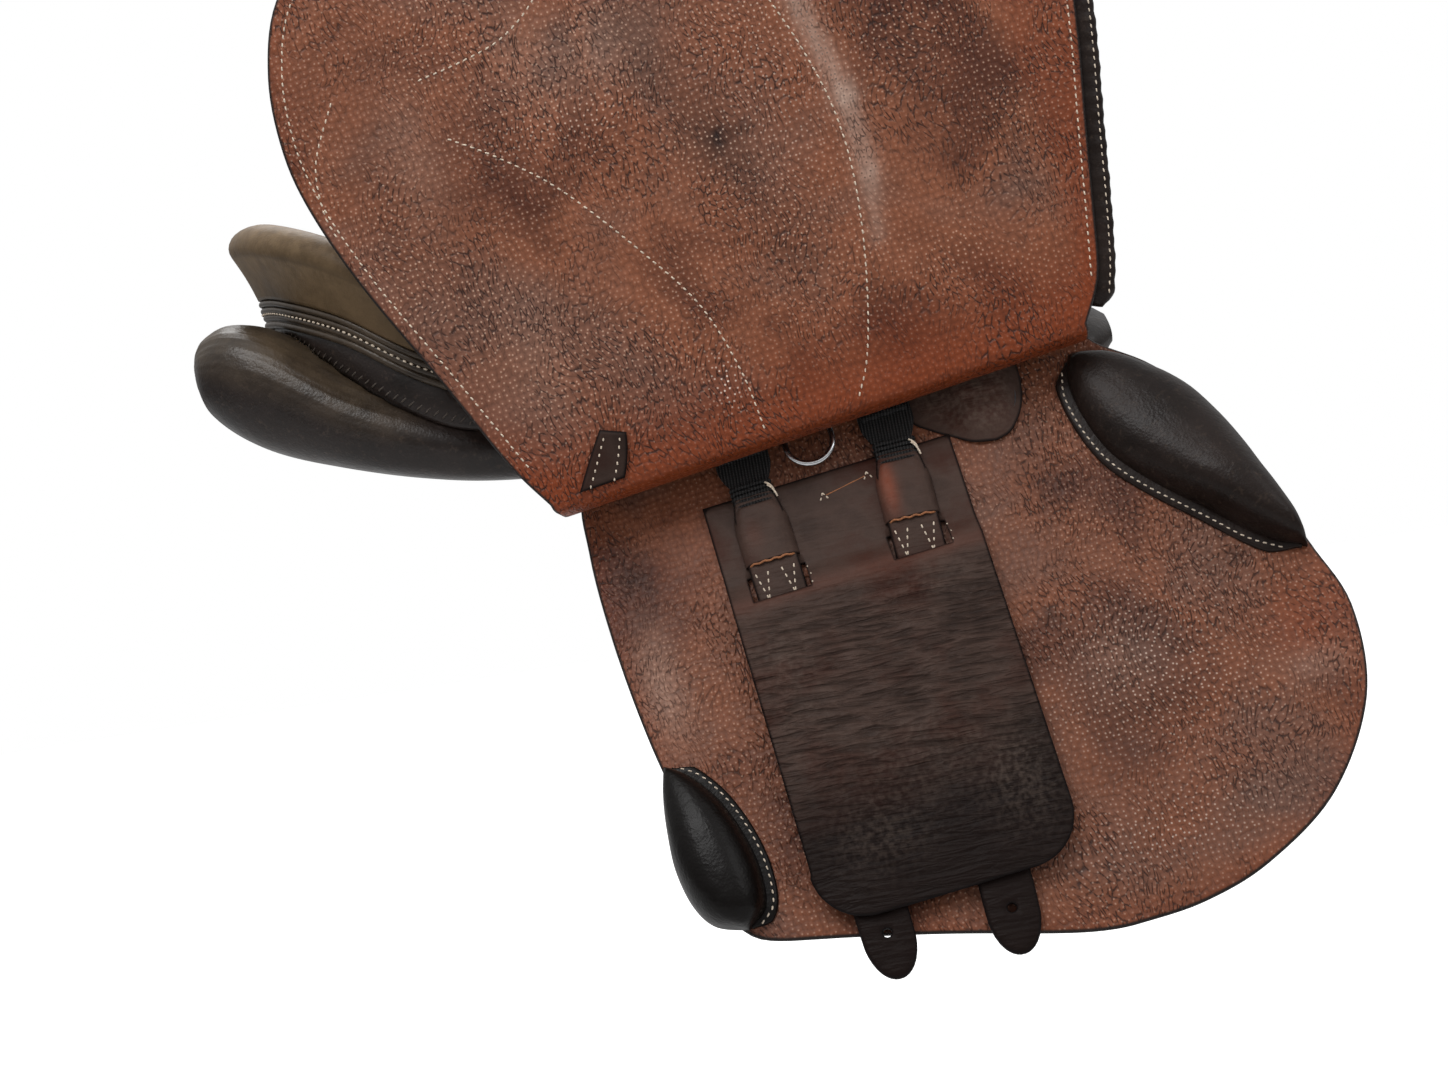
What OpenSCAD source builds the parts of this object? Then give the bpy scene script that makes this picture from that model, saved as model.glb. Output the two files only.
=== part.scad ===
// Jumping saddle, shown with its flaps raised over the seat.
// Millimetres. X points to the pommel, Y to the near side, Z up.
// The origin lies on the centre plane, at the level where the panels bear on the back.

/* [Seat] */
// Rearward reach of the cantle's rim
cantle_reach = 308; // [296:1:320]
// Forward reach of the pommel
pommel_reach = 192; // [184:1:200]
// Height of the cantle's rim
cantle_height = 204; // [196:1:214]
// Height of the pommel's top
pommel_height = 168; // [160:1:176]
// Height of the seat's deepest point
seat_height = 118; // [115:0.5:122]
// Half of the width across the cantle
cantle_half_w = 130; // [122:1:134]
// Half of the width of the seat at its waist
waist_half_w = 82; // [76:1:90]
// Half of the width of the pommel
pommel_half_w = 48; // [42:1:54]
// Depth of the leather wall below the cantle's rim
facing_h = 45; // [38:1:50]
// Thickness of the seat's leather
cover_t = 3; // [2:0.1:3.5]
// Thickness of the foam in the middle of the seat
foam_t = 22; // [16:1:25]
// Radius of the piping below the cantle's wall
seat_welt_r = 4; // [3:0.1:4.6]
// Radius of the piping on top of the panels
panel_welt_r = 4.6; // [3.6:0.1:5.2]

/* [Tree] */
// Thickness of the laminated seat plate
plate_t = 8; // [6:0.5:10]
// Thickness of the side rails
rail_t = 8.6; // [7:0.1:10]
// Height of the side rails
rail_h = 38; // [32:1:42]
// Length of the steel head arch along the saddle
arch_len = 16; // [12:1:20]
// Thickness of the arch's limbs
arch_t = 9; // [7:0.5:11]
// Thickness of the tree points
point_t = 3.6; // [3:0.1:4]
// Width of one seat web
seat_web_w = 22; // [16:1:26]

/* [Sides] */
// Angle of the saddle's sides from upright
splay = 27; // [24:0.5:30]
// Rise of the side lines towards the pommel
side_rise = 8; // [6:0.5:10]
// Thickness of the sweat flaps
sweat_t = 4; // [3:0.1:5]
// Crown of the knee blocks
knee_crown = 27; // [20:0.5:28]
// Crown of the thigh blocks
thigh_crown = 25; // [18:0.5:30]
// Height of a point pocket over the sweat flap
pocket_h = 6.6; // [5.4:0.1:7.4]

/* [Flaps] */
// Thickness of the flap leather
flap_t = 4.5; // [3.5:0.1:5.5]
// Radius of the rolled core in the fold
fold_r = 8.6; // [7:0.1:9.4]
// Angle by which the fold line rises over the side lines
fold_turn = 2; // [0:0.5:3]
// Inward lean of the raised flap from upright
raised_lean = 4; // [2:0.5:5]
// Depth of the skirts below the seat's seam
skirt_h = 56; // [50:1:58]
// Thickness of the skirts
skirt_t = 4; // [3:0.1:4.5]
// Half of the thickness of the padded front edge
edge_roll_r = 6; // [4:0.1:6.2]
// Thickness of the strap keepers
keeper_t = 2.5; // [2:0.1:3]

/* [Girthing] */
// Width of the billets
billet_w = 29; // [25:0.5:31]
// Thickness of the billets
billet_t = 5; // [4.4:0.1:5.4]
// Width of the billet webs
web_w = 28; // [24:0.5:30]
// Thickness of the billet webs
web_t = 2; // [1.4:0.1:2.4]
// Diameter of the girth holes
hole_d = 5; // [4:0.1:6]
// Distance between the girth holes
hole_step = 22; // [20:0.5:25]
// Number of girth holes in a billet
hole_count = 8; // [5:1:9]
// Sideways lean of the front billets
front_lean = 4; // [2:0.5:5]
// Thickness of the billet guards
guard_t = 2.6; // [2:0.1:2.8]

/* [Metalwork] */
// Wire diameter of the dee rings
dee_wire = 3.6; // [3:0.1:4]
// Inner width of the dee rings
dee_w = 24; // [20:0.5:26]
// Diameter of the stirrup bars
bar_d = 9; // [7:0.5:9.5]
// Length of the stirrup bars
bar_len = 58; // [50:1:60]

/* [Panels] */
// Half of the width of the channel between the panels
channel_half_w = 33; // [28:0.5:36]
// Thickness of the panels under the seat
panel_t = 37; // [32:0.5:40]
// Height of the panels' underside below the cantle
panel_rear_z = 62.5; // [60:0.5:68]

/* [Output] */
// Node to draw

/* [Hidden] */
$fn = 48;
// running gap between soft neighbours
gap = 0.3;
// room for sliding leather
slide_gap = 0.4;
leather_brown = [0.42, 0.25, 0.18];
leather_dark = [0.2, 0.16, 0.14];
leather_black = [0.13, 0.12, 0.11];
web_black = [0.08, 0.08, 0.08];
steel = [0.72, 0.73, 0.75];
wood = [0.7, 0.55, 0.38];
foam_cream = [0.9, 0.86, 0.7];

// place of the side frame: u along the side, v up its slope, n outward
side_x = 40;
side_z = 38;
side_y = waist_half_w + 31;

// layers outward from the sweat flap's face
guard_back = slide_gap;
billet_back = guard_back + guard_t + slide_gap;
billet_mid = billet_back + billet_t / 2;
guard_front = billet_back + billet_t + slide_gap;
web_back = billet_mid - web_t / 2;
rail_out = web_back - gap;
rail_in = rail_out - rail_t;
rail_bottom = 12;
rail_top = rail_bottom + rail_h;
rail_rear = -80;
rail_front = pommel_reach - 50;
head_back = guard_front + guard_t + 2.1;
leaf_in = fold_r + slide_gap;
fold_v = -10;
fold_n = head_back + flap_t + leaf_in;
head_top = 38;
hem_h = 9;
hem_v = head_top - hem_h;

// girthing places along and down the side
rear_billet_u = -60;
front_billet_u = 26;
web_pin_v = -31;
web_pin_r = web_t / 2 + 1.5;
rear_billet_len = 294;
front_billet_len = 301;
tip_hole = 25;
guard_top = -34;
guard_low = -290;
window_top = -82;
window_low = -101;
window_room = 2.5;

// Curves

function cubic(a, b, c, d, t) =
    0.5 * (2 * b + (c - a) * t + (2 * a - 5 * b + 4 * c - d) * t * t
    + (3 * b - a - 3 * c + d) * t * t * t);

// point at fraction s of an open smooth curve through pts
function along(pts, s) =
    let (last = len(pts) - 1, p = min(max(s, 0), 1) * last, i = min(floor(p), last - 1))
    cubic(pts[max(i - 1, 0)], pts[i], pts[i + 1], pts[min(i + 2, last)], p - i);

function smooth_line(pts, steps) = [for (i = [0:steps]) along(pts, i / steps)];

function lerp(a, b, t) = a + (b - a) * t;

// Lofts: rings of the same number of points, joined by triangles

function band(a, b, m) =
    [for (i = [0:m - 1], f = [0, 1])
        f == 0 ? [a + i, b + i, b + (i + 1) % m] : [a + i, b + (i + 1) % m, a + (i + 1) % m]];

// cap that joins the two sides of a ring
function zip_cap(a, m) =
    let (h = m / 2)
    concat(
        [[a, a + 1, a + m - 1]],
        [for (i = [1:h - 1]) if (i < h - 1) each [
            [a + i, a + i + 1, a + m - i],
            [a + i + 1, a + m - i - 1, a + m - i]]],
        [[a + h - 1, a + h, a + h + 1]]);

function turned(faces) = [for (f = faces) [f[2], f[1], f[0]]];

module loft(rings) {
    m = len(rings[0]);
    last = len(rings) - 1;
    polyhedron(
        points = [for (r = rings, p = r) p],
        faces = concat(
            [for (r = [0:last - 1]) each band(r * m, (r + 1) * m, m)],
            zip_cap(0, m),
            turned(zip_cap(last * m, m))),
        convexity = 8);
}

module ring_loft(rings) {
    m = len(rings[0]);
    k = len(rings);
    polyhedron(
        points = [for (r = rings, p = r) p],
        faces = [for (r = [0:k - 1]) each band(r * m, ((r + 1) % k) * m, m)],
        convexity = 8);
}

// tube of elliptic section along a path: half width ru in the path's plane, rn across it
module swept_tube(path, ru, rn, sides, ends) {
    last = len(path) - 1;
    loft([for (i = [0:last])
        let (
            d = path[min(i + 1, last)] - path[max(i - 1, 0)],
            e = [d[0], d[1]] / norm([d[0], d[1]]),
            k = (i == 0 || i == last) ? ends : 1)
        [for (j = [0:sides - 1])
            let (a = 360 * j / sides, c = ru * k * cos(a))
            path[i] + [-e[1] * c, e[0] * c, rn * k * sin(a)]]]);
}

// stuffed pad between two edge lines that share their tips
module pad(edge_a, edge_b, crown, steps) {
    // share of the half width, share of the crown, share of the length
    profile = [[1, 0, 1], [1, 0.36, 1], [0.95, 0.66, 0.99], [0.8, 0.88, 0.96],
        [0.54, 0.97, 0.9], [0.24, 1, 0.8]];
    loft([for (p = profile)
        let (
            spot = function (i) lerp(0.5, i / steps, p[2]),
            left = [for (i = [0:steps]) along(edge_a, spot(i))],
            right = [for (i = [0:steps]) along(edge_b, spot(i))],
            lift = [for (i = [0:steps]) along(crown, spot(i)) * p[1]])
        concat(
            [for (i = [0:steps])
                let (c = lerp((left[i] + right[i]) / 2, left[i], p[0]))
                [c[0], c[1], lift[i]]],
            [for (i = [steps - 1:-1:1])
                let (c = lerp((left[i] + right[i]) / 2, right[i], p[0]))
                [c[0], c[1], lift[i]]])]);
}

// Side frames

module off_side()
    translate([side_x, -side_y, side_z])
    rotate([0, -side_rise, 0])
    rotate([90 - splay, 0, 0])
    children();

module near_side()
    mirror([0, 1, 0])
    off_side()
    children();

module on_side(near) {
    if (near) {
        near_side() children();
    } else {
        off_side() children();
    }
}

// frame of a flap's fold, with x along the fold
module fold_frame(near)
    on_side(near)
    translate([0, fold_v, fold_n])
    rotate([0, 0, fold_turn])
    children();

// angle of a raised flap from the saddle's side
raised_angle = splay - raised_lean;

module flap_frame(near)
    fold_frame(near)
    rotate([raised_angle, 0, 0])
    children();

// height of a point of the side frame at the saddle's x
function side_height(x, v, n) =
    side_z + (x - side_x) * tan(side_rise) + (v * cos(splay) + n * sin(splay)) / cos(side_rise);

function side_reach(v, n) = side_y - v * sin(splay) + n * cos(splay);

// Seat

seat_mid_x = -60;
rest_on_rail = gap * 2;

// rim height where the seat's wall stands on the rails
function waist_rim(x, wall) = side_height(x, rail_top, rail_out) + rest_on_rail + plate_t + gap + wall;

// half outline of the seat from cantle to pommel: x, y, rim height, wall height
seat_edge = [
    [-cantle_reach, 0, cantle_height, facing_h],
    [22 - cantle_reach, 0.5 * cantle_half_w, cantle_height - 3, facing_h],
    [66 - cantle_reach, 0.86 * cantle_half_w, cantle_height - 20, facing_h],
    [116 - cantle_reach, cantle_half_w, cantle_height - 50, facing_h],
    [180 - cantle_reach, waist_half_w + 36, waist_rim(-128, 40) + 16, 40],
    [-60, waist_half_w + 14, waist_rim(-60, 22) + 3, 22],
    [0, waist_half_w, waist_rim(0, 15), 15],
    [60, waist_half_w - 7, waist_rim(60, 15), 15],
    [pommel_reach - 72, pommel_half_w + 16, waist_rim(pommel_reach - 72, 20), 20],
    [pommel_reach - 27, pommel_half_w, pommel_height - 20, 30],
    [pommel_reach - 4, 0.42 * pommel_half_w, pommel_height - 3, 38],
    [pommel_reach, 0, pommel_height, 40]
];
seat_steps = 33;

function spine_x(x) = seat_mid_x + 0.55 * (x - seat_mid_x);

// height of the seat over its spine
function seat_floor(x) =
    let (d = x - seat_mid_x)
    seat_height + d * d * (d < 0 ? 0.0013 : 0.0006);

// point on the spoke s of the seat at share r of its half width, drawn in by inset
function spoke(s, r, inset) =
    let (
        c = along(seat_edge, s),
        root = [spine_x(c[0]), 0],
        arm = [c[0], c[1]] - root,
        reach = max(norm(arm) * r - inset, 0.2))
    root + arm / norm(arm) * reach;

function crest_height(s, r) =
    let (c = along(seat_edge, s), z = seat_floor(spine_x(c[0])))
    lerp(z, c[2], pow(min(r / 0.95, 1), 1.8));

function wall_foot(s) = let (c = along(seat_edge, s)) c[2] - c[3];

// underside of the foam, where the tree carries it
function foam_foot(s, r) =
    let (c = along(seat_edge, s), z = seat_floor(spine_x(c[0])) - cover_t - foam_t)
    lerp(wall_foot(s), z, max(1 - r * r, 0));

// the cantle's wall is drawn in at its foot
function tuck(s) = 9 * (1 - along([0, 0, 0, 0.1, 0.6, 1, 1, 1, 1, 0.8, 0.7, 0.7], s));

function seat_ring(point) =
    concat(
        [for (i = [0:seat_steps]) point(i / seat_steps)],
        [for (i = [seat_steps - 1:-1:1])
            let (p = point(i / seat_steps))
            [p[0], -p[1], p[2]]]);

function seat_point(s, r, inset, z) =
    let (p = spoke(s, r, inset))
    [p[0], (s == 0 || s == 1) ? 0 : p[1], z];

function top_ring(r, inset) =
    seat_ring(function (s) seat_point(s, r, inset, crest_height(s, r) - inset));

function wall_ring(share, inset) =
    seat_ring(function (s)
        let (c = along(seat_edge, s))
        seat_point(s, 1, inset + tuck(s) * share, lerp(c[2] - 7, c[2] - c[3], share)));

function foot_ring(r, inset, drop) =
    seat_ring(function (s) seat_point(s, r, inset + tuck(s), foam_foot(s, r) - drop));

// shares of the half width at which the foam's top and underside are drawn
foam_shares = [0.25, 0.5, 0.72, 0.92];
foot_shares = [1, 0.75, 0.5, 0.25];
foam_inset = cover_t + 3.6;
plate_gap = 4 * gap;

module seat_cover() {
    inner = cover_t + gap / 10;
    color(leather_dark)
    loft(concat(
        [for (r = [0.25, 0.5, 0.72, 0.87, 0.95]) top_ring(r, 0)],
        [wall_ring(0, 0), wall_ring(0.5, 0), wall_ring(1, 0)],
        [wall_ring(1, inner), wall_ring(0, inner)],
        [for (i = [len(foam_shares) - 1:-1:0]) top_ring(foam_shares[i], inner)]));
}

module seat_foam() {
    color(foam_cream)
    loft(concat(
        [for (r = foam_shares) top_ring(r, foam_inset)],
        [wall_ring(0.1, foam_inset)],
        [for (r = foot_shares) foot_ring(r, foam_inset, 0)]));
}

// distance along the spoke s from the spine to the edge of the foam's underside
function foam_reach(s, r) =
    let (c = along(seat_edge, s))
    norm([c[0] - spine_x(c[0]), c[1]]) * r - foam_inset - tuck(s);

// underside of the foam at a distance along the spoke s
function foam_under(s, reach) =
    lookup(reach, [for (r = foot_shares) [foam_reach(s, r), foam_foot(s, r)]]);

// inset of the plate's edge from the foam's: it passes under the seat's wall to reach the rails
plate_clear = 2 * panel_welt_r + 2 - foam_inset;
plate_inset = [
    plate_clear, plate_clear, plate_clear, plate_clear, plate_clear,
    1, -11, -11, -7, 1, 2, 2
];

module tree_plate() {
    over = plate_gap;
    function plate_ring(inset, drop) =
        seat_ring(function (s)
            let (reach = foam_reach(s, 1) - inset(s))
            seat_point(s, 1, tuck(s) + foam_inset + inset(s), foam_under(s, reach) - drop));
    edge = function (s) along(plate_inset, s);
    shoulder = function (s) max(0, along(plate_inset, s) + 3);
    color(wood)
    ring_loft([
        foot_ring(foot_shares[2], foam_inset, over),
        foot_ring(foot_shares[1], foam_inset, over),
        plate_ring(shoulder, over),
        plate_ring(edge, over),
        plate_ring(edge, over + plate_t),
        plate_ring(shoulder, over + plate_t),
        foot_ring(foot_shares[1], foam_inset, over + plate_t),
        foot_ring(foot_shares[2], foam_inset, over + plate_t)]);
}

// two webs along the opening of the seat plate, under the foam
seat_web_t = 1.4;
lining_t = 2.2;
seat_web_rear = spine_x(-cantle_reach) - 24;
seat_web_front = spine_x(pommel_reach) + 6;

// spot on the spoke s where the foam's underside passes over the webs' outer edge: x, height
function web_spot(s) =
    let (
        c = along(seat_edge, s),
        arm = [c[0] - spine_x(c[0]), c[1]],
        far = foam_reach(s, foot_shares[2]),
        near = foam_reach(s, foot_shares[3]),
        reach = min(far, max(near, (4 + seat_web_w) * norm(arm) / max(c[1], 1))))
    [spine_x(c[0]) + arm[0] / norm(arm) * reach, foam_under(s, reach)];

function web_share(x, low, high, turns) =
    let (mid = (low + high) / 2)
    turns == 0 ? mid
    : web_spot(mid)[0] < x ? web_share(x, mid, high, turns - 1)
    : web_share(x, low, mid, turns - 1);

function seat_web_z(x) =
    let (s = web_share(x, 0, 1, 12))
    min([for (d = [-0.03, 0, 0.03]) web_spot(min(max(s + d, 0), 1))[1]]) - 4 * gap;

seat_web_steps = 12;

module seat_webbing() {
    steps = seat_web_steps;
    color(web_black)
    for (m = [0, 1]) mirror([0, m, 0])
        loft([for (i = [0:steps])
            let (x = lerp(seat_web_rear, seat_web_front, i / steps), z = seat_web_z(x))
            [[x, 3, z], [x, 3, z - seat_web_t], [x, 3 + seat_web_w, z - seat_web_t], [x, 3 + seat_web_w, z]]]);
}

// leather strip that closes the channel from below
module channel_lining() {
    half_w = channel_half_w - 8;
    steps = seat_web_steps;
    function lining_z(x) = seat_web_z(x) - seat_web_t - gap;
    color(leather_black)
    loft([for (i = [0:steps])
        let (x = lerp(seat_web_rear, seat_web_front, i / steps), z = lining_z(x))
        [[x, -half_w, z], [x, -half_w, z - lining_t], [x, half_w, z - lining_t], [x, half_w, z]]]);
}

// piping round the back of the seat, drop below the foot of its wall
module rear_piping(drop, inset, r) {
    far = 0.36;
    steps = 28;
    swept_tube(
        [for (i = [0:steps])
            let (
                t = lerp(-far, far, i / steps),
                s = abs(t),
                p = spoke(s, 1, tuck(s) + inset))
            [p[0], t < 0 ? -p[1] : p[1], wall_foot(s) - drop]],
        r, r, 8, 0.5);
}

module seat_welt()
    color(leather_black)
    rear_piping(seat_welt_r + 3 * gap, seat_welt_r, seat_welt_r);

module panel_welt()
    color(leather_black)
    rear_piping(2 * seat_welt_r + panel_welt_r + 4 * gap, panel_welt_r + 1, panel_welt_r);

// Panels

panel_edge_y = channel_half_w + 2;
// room for a panel's width between the channel and the rails, less its thickness on the slope
panel_room = side_y - panel_edge_y - 0.635 * panel_t;
// height of the cantle's wall over the panels' underside
rear_room = cantle_height - facing_h - panel_rear_z;

// x, middle from the channel, middle height, half width, half thickness, slope
function panel_run(x, mid, low, high, half_w, slope) =
    [x, mid, (low + high) / 2, half_w, (high - low) / 2, slope];

function rear_run(x, mid, low, high, half_w, slope) =
    panel_run(x - cantle_reach, mid * cantle_half_w, panel_rear_z + low, panel_rear_z + high * rear_room,
        half_w * cantle_half_w, slope);

function side_run(x, mid, height, half_w, share, slope) =
    panel_run(x, mid * panel_room, height - share * panel_t, height + share * panel_t,
        half_w * panel_room, slope);

panel_runs = [
    rear_run(-23, 0.262, 0.48 * rear_room, 0.65, 0.046, 8),
    rear_run(-16, 0.262, 0.32 * rear_room, 0.785, 0.185, 8),
    rear_run(2, 0.27, 0.145 * rear_room, 0.85, 0.277, 9),
    rear_run(28, 0.285, 0, 0.767, 0.323, 11),
    rear_run(68, 0.308, -11.75, 0.484, 0.362, 14),
    rear_run(108, 0.308, -21.25, 0.293, 0.37, 16),
    rear_run(148, 0.3, -27.7, 0.173, 0.354, 18),
    side_run(-100, 0.66, 50, 0.697, 0.53, 22),
    side_run(-40, 0.587, 46, 0.587, 0.5, 24),
    side_run(40, 0.605, 47, 0.642, 0.5, 25),
    side_run(pommel_reach - 82, 0.569, 48, 0.605, 0.44, 26),
    side_run(pommel_reach - 27, 0.569, 56, 0.624, 0.46, 26),
    side_run(pommel_reach + 4, 0.55, 60, 0.55, 0.4, 26),
    side_run(pommel_reach + 20, 0.55, 62, 0.257, 0.16, 26)
];
panel_sides = 16;
panel_steps = 32;

function signed_pow(a, e) = sign(a) * pow(abs(a), e);

module panel(near)
    color(leather_black)
    mirror([0, near ? 0 : 1, 0])
    loft([for (i = [0:panel_steps])
        let (c = along(panel_runs, i / panel_steps))
        [for (j = [0:panel_sides - 1])
            let (
                a = 360 * j / panel_sides,
                p = c[3] * signed_pow(cos(a), 0.75),
                q = c[4] * signed_pow(sin(a), 0.75))
            [
                c[0],
                panel_edge_y + c[1] + p * cos(c[5]) + q * sin(c[5]),
                c[2] - p * sin(c[5]) + q * cos(c[5])
            ]]]);

// Tree

module tree_rail(near)
    color(wood)
    on_side(near)
    translate([rail_rear, rail_bottom, rail_in])
    cube([rail_front - rail_rear, rail_h, rail_t]);

arch_x = pommel_reach - 82;
facing_x = pommel_reach - 32;
facing_len = 10;

// whole arch from the lines of one half, which end on the centre plane
function arch_loop(outer, inner) =
    concat(
        outer,
        [for (i = [len(outer) - 2:-1:0]) [-outer[i][0], outer[i][1]]],
        [for (i = [0:len(inner) - 1]) [-inner[i][0], inner[i][1]]],
        [for (i = [len(inner) - 2:-1:0]) inner[i]]);

module head_arch() {
    // the limbs lie inside the rails, clear of their rise over the arch's length
    clear = 1.6;
    function limb(v, inset) = [
        side_reach(v, rail_in) - clear - inset,
        side_height(arch_x, v, rail_in)];
    foot = rail_bottom + 2;
    top = rail_top - 4;
    roof = side_height(arch_x, rail_top, rail_in);
    outer = [limb(foot, 0), limb(top, 0), [64, roof - 1], [36, roof + 4], [0, roof + 8]];
    inner = [for (p = outer) [p[0] * (1 - arch_t / 90), p[1] - arch_t * (p[0] < 70 ? 1 : 0.5)]];
    color(steel)
    translate([arch_x, 0, 0])
    rotate([90, 0, 90])
    linear_extrude(arch_len)
    polygon(arch_loop(outer, inner));
}

// leather-covered front of the arch, under the pommel's wall
module pommel_facing() {
    clear = 0.5;
    roof = foam_foot(1, 0.7) - plate_t - 2;
    function limb(v, inset) = [
        side_reach(v, rail_in) - clear - inset,
        side_height(facing_x, v, rail_in)];
    outer = [
        limb(rail_bottom + 2, 0), limb(rail_top - 3, 0),
        [66, roof - 20], [44, roof - 11], [22, roof - 3], [0, roof]
    ];
    inner = [
        limb(rail_bottom, 9), limb(rail_top - 14, 9),
        [60, roof - 24], [40, roof - 19], [20, roof - 16], [0, roof - 15]
    ];
    color(leather_dark)
    translate([facing_x, 0, 0])
    rotate([90, 0, 90])
    linear_extrude(facing_len)
    polygon(arch_loop(outer, inner));
}

point_u = 70;
point_w = 32;
point_low = -36;

module tree_point(near)
    color(steel)
    on_side(near)
    translate([point_u, point_low, slide_gap])
    linear_extrude(point_t)
    union() {
        translate([0, point_w / 2]) square([point_w, rail_bottom - gap - point_low - point_w / 2]);
        translate([point_w / 2, point_w / 2]) circle(d = point_w);
    }

// Sweat flaps and blocks

sweat_outline = [
    [-152, 1], [-160, -40], [-160, -100], [-155, -160], [-146, -215], [-140, -258], [-127, -281],
    [-90, -292], [-30, -304], [40, -324], [90, -333], [140, -326], [190, -295], [225, -250],
    [236, -200], [228, -160], [218, -120], [206, -65], [182, -28], [156, -4]
];

module sweat_flap(near)
    color(leather_brown)
    on_side(near)
    translate([0, 0, -sweat_t])
    linear_extrude(sweat_t)
    polygon(concat([[148, rail_bottom - gap], [-60, rail_bottom - gap]], smooth_line(sweat_outline, 76)));

knee_front = [[138, -8], [161, -14], [180, -29], [197, -49], [210, -79], [218, -110], [225, -141], [225, -161]];
knee_back = [[138, -8], [132, -24], [133, -48], [141, -75], [157, -98], [178, -121], [204, -149], [225, -161]];
knee_lift = [0.24, 0.42, 0.56, 0.7, 0.85, 1, 0.86, 0.4];

module knee_block(near)
    color(leather_black)
    on_side(near)
    translate([0, 0, gap])
    pad(knee_back, knee_front, knee_lift * knee_crown, 14);

thigh_front = [
    [-151, -175], [-138, -185], [-126, -203], [-118, -226], [-115, -248], [-118, -267], [-130, -276]
];
thigh_back = [
    [-151, -175], [-156, -192], [-159, -212], [-160, -234], [-156, -255], [-147, -269], [-130, -276]
];
thigh_lift = [0.3, 0.6, 0.84, 0.98, 1, 0.85, 0.4];

module thigh_block(near)
    color(leather_black)
    on_side(near)
    translate([0, 0, gap])
    pad(thigh_back, thigh_front, thigh_lift * thigh_crown, 14);

// leather pocket over the end of the tree point
module point_pocket(near) {
    wall = 2;
    cover = 1.8;
    room = 1;
    color(leather_dark)
    on_side(near)
    translate([0, 0, slide_gap])
    difference() {
        linear_extrude(pocket_h)
        translate([point_u - room - wall, point_low - room - wall])
        union() {
            translate([0, point_w / 2 + room + wall]) square([point_w + 2 * (room + wall), 26]);
            translate([1, 1] * (point_w / 2 + room + wall)) circle(d = point_w + 2 * (room + wall));
        }
        translate([point_u - room, point_low - room, -1])
        linear_extrude(pocket_h - cover + 1)
        union() {
            translate([0, point_w / 2 + room]) square([point_w + 2 * room, 60]);
            translate([1, 1] * (point_w / 2 + room)) circle(d = point_w + 2 * room);
        }
    }
}

// Girthing

// frame of one billet, with y down its length from the web's pin
module billet_frame(near, front)
    on_side(near)
    translate([front ? front_billet_u : rear_billet_u, web_pin_v, 0])
    rotate([0, 0, front ? -front_lean : 0])
    children();

module billet_web(near, front) {
    top = hem_v - 1;
    color(web_black)
    on_side(near)
    translate([front ? front_billet_u : rear_billet_u, 0, 0])
    union() {
        translate([-web_w / 2, web_pin_v, web_back]) cube([web_w, top - web_pin_v, web_t]);
        translate([-web_w / 2, web_pin_v, billet_mid])
        rotate([0, 90, 0])
        cylinder(r = web_pin_r, h = web_w);
    }
}

module billet(near, front) {
    length = front ? front_billet_len : rear_billet_len;
    // a leaning billet's upper corner stays clear of the web's pin
    lowered = web_pin_r + gap + (front ? billet_w / 2 * tan(front_lean) : 0);
    color(leather_dark)
    billet_frame(near, front)
    translate([0, 0, billet_back])
    difference() {
        linear_extrude(billet_t)
        union() {
            translate([-billet_w / 2, -length + billet_w / 2])
            square([billet_w, length - billet_w / 2 - lowered]);
            translate([0, -length + billet_w / 2]) circle(d = billet_w);
        }
        for (i = [0:hole_count - 1])
            translate([0, -length + tip_hole + i * hole_step, -1])
            cylinder(d = hole_d, h = billet_t + 2);
    }
}

// the guard lies behind the billets above its windows and in front of them below
module billet_guard(near) {
    half = billet_w / 2 + window_room;
    front_u = front_billet_u + (window_top - web_pin_v) * tan(front_lean);
    left = -90;
    right = 58;
    low_left = -91;
    low_right = 55;
    corner = 30;
    steps = [[left, rear_billet_u - half], [rear_billet_u + half, front_u - half], [front_u + half, right]];
    color(leather_dark)
    on_side(near)
    union() {
        translate([left, window_top, guard_back]) cube([right - left, guard_top - window_top, guard_t]);
        for (s = steps)
            translate([s[0], window_low - 3, guard_back])
            cube([s[1] - s[0], window_top - window_low + 6, guard_front + guard_t - guard_back]);
        translate([0, 0, guard_front])
        linear_extrude(guard_t)
        union() {
            translate([low_left + corner, guard_low]) square([low_right - low_left - 2 * corner, corner + 1]);
            translate([low_left, guard_low + corner])
            square([low_right - low_left, window_low - guard_low - corner]);
            for (u = [low_left + corner, low_right - corner])
                translate([u, guard_low + corner]) circle(r = corner);
        }
    }
}

module web_nails() {
    head_d = 6;
    head_h = 1.4;
    for (near = [true, false], u = [rear_billet_u, front_billet_u], side = [-1, 1])
        color(steel)
        on_side(near)
        translate([u + side * web_w / 4, hem_v - 8, web_back + web_t + gap / 3])
        cylinder(d = head_d, h = head_h);
}

// Dee rings: a straight bar along u at the origin and a bow that hangs from it

module dee(bow) {
    r = dee_w / 2 + dee_wire / 2;
    drop = bow - r;
    color(steel)
    union() {
        translate([-r, 0, 0]) rotate([0, 90, 0]) cylinder(d = dee_wire, h = 2 * r);
        for (s = [-1, 1]) {
            translate([s * r, 0, 0]) sphere(d = dee_wire);
            translate([s * r, -drop, 0]) rotate([-90, 0, 0]) cylinder(d = dee_wire, h = drop);
        }
        translate([0, -drop, 0]) rotate([0, 0, 180]) rotate_extrude(angle = 180)
            translate([r, 0]) circle(d = dee_wire);
    }
}

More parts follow.
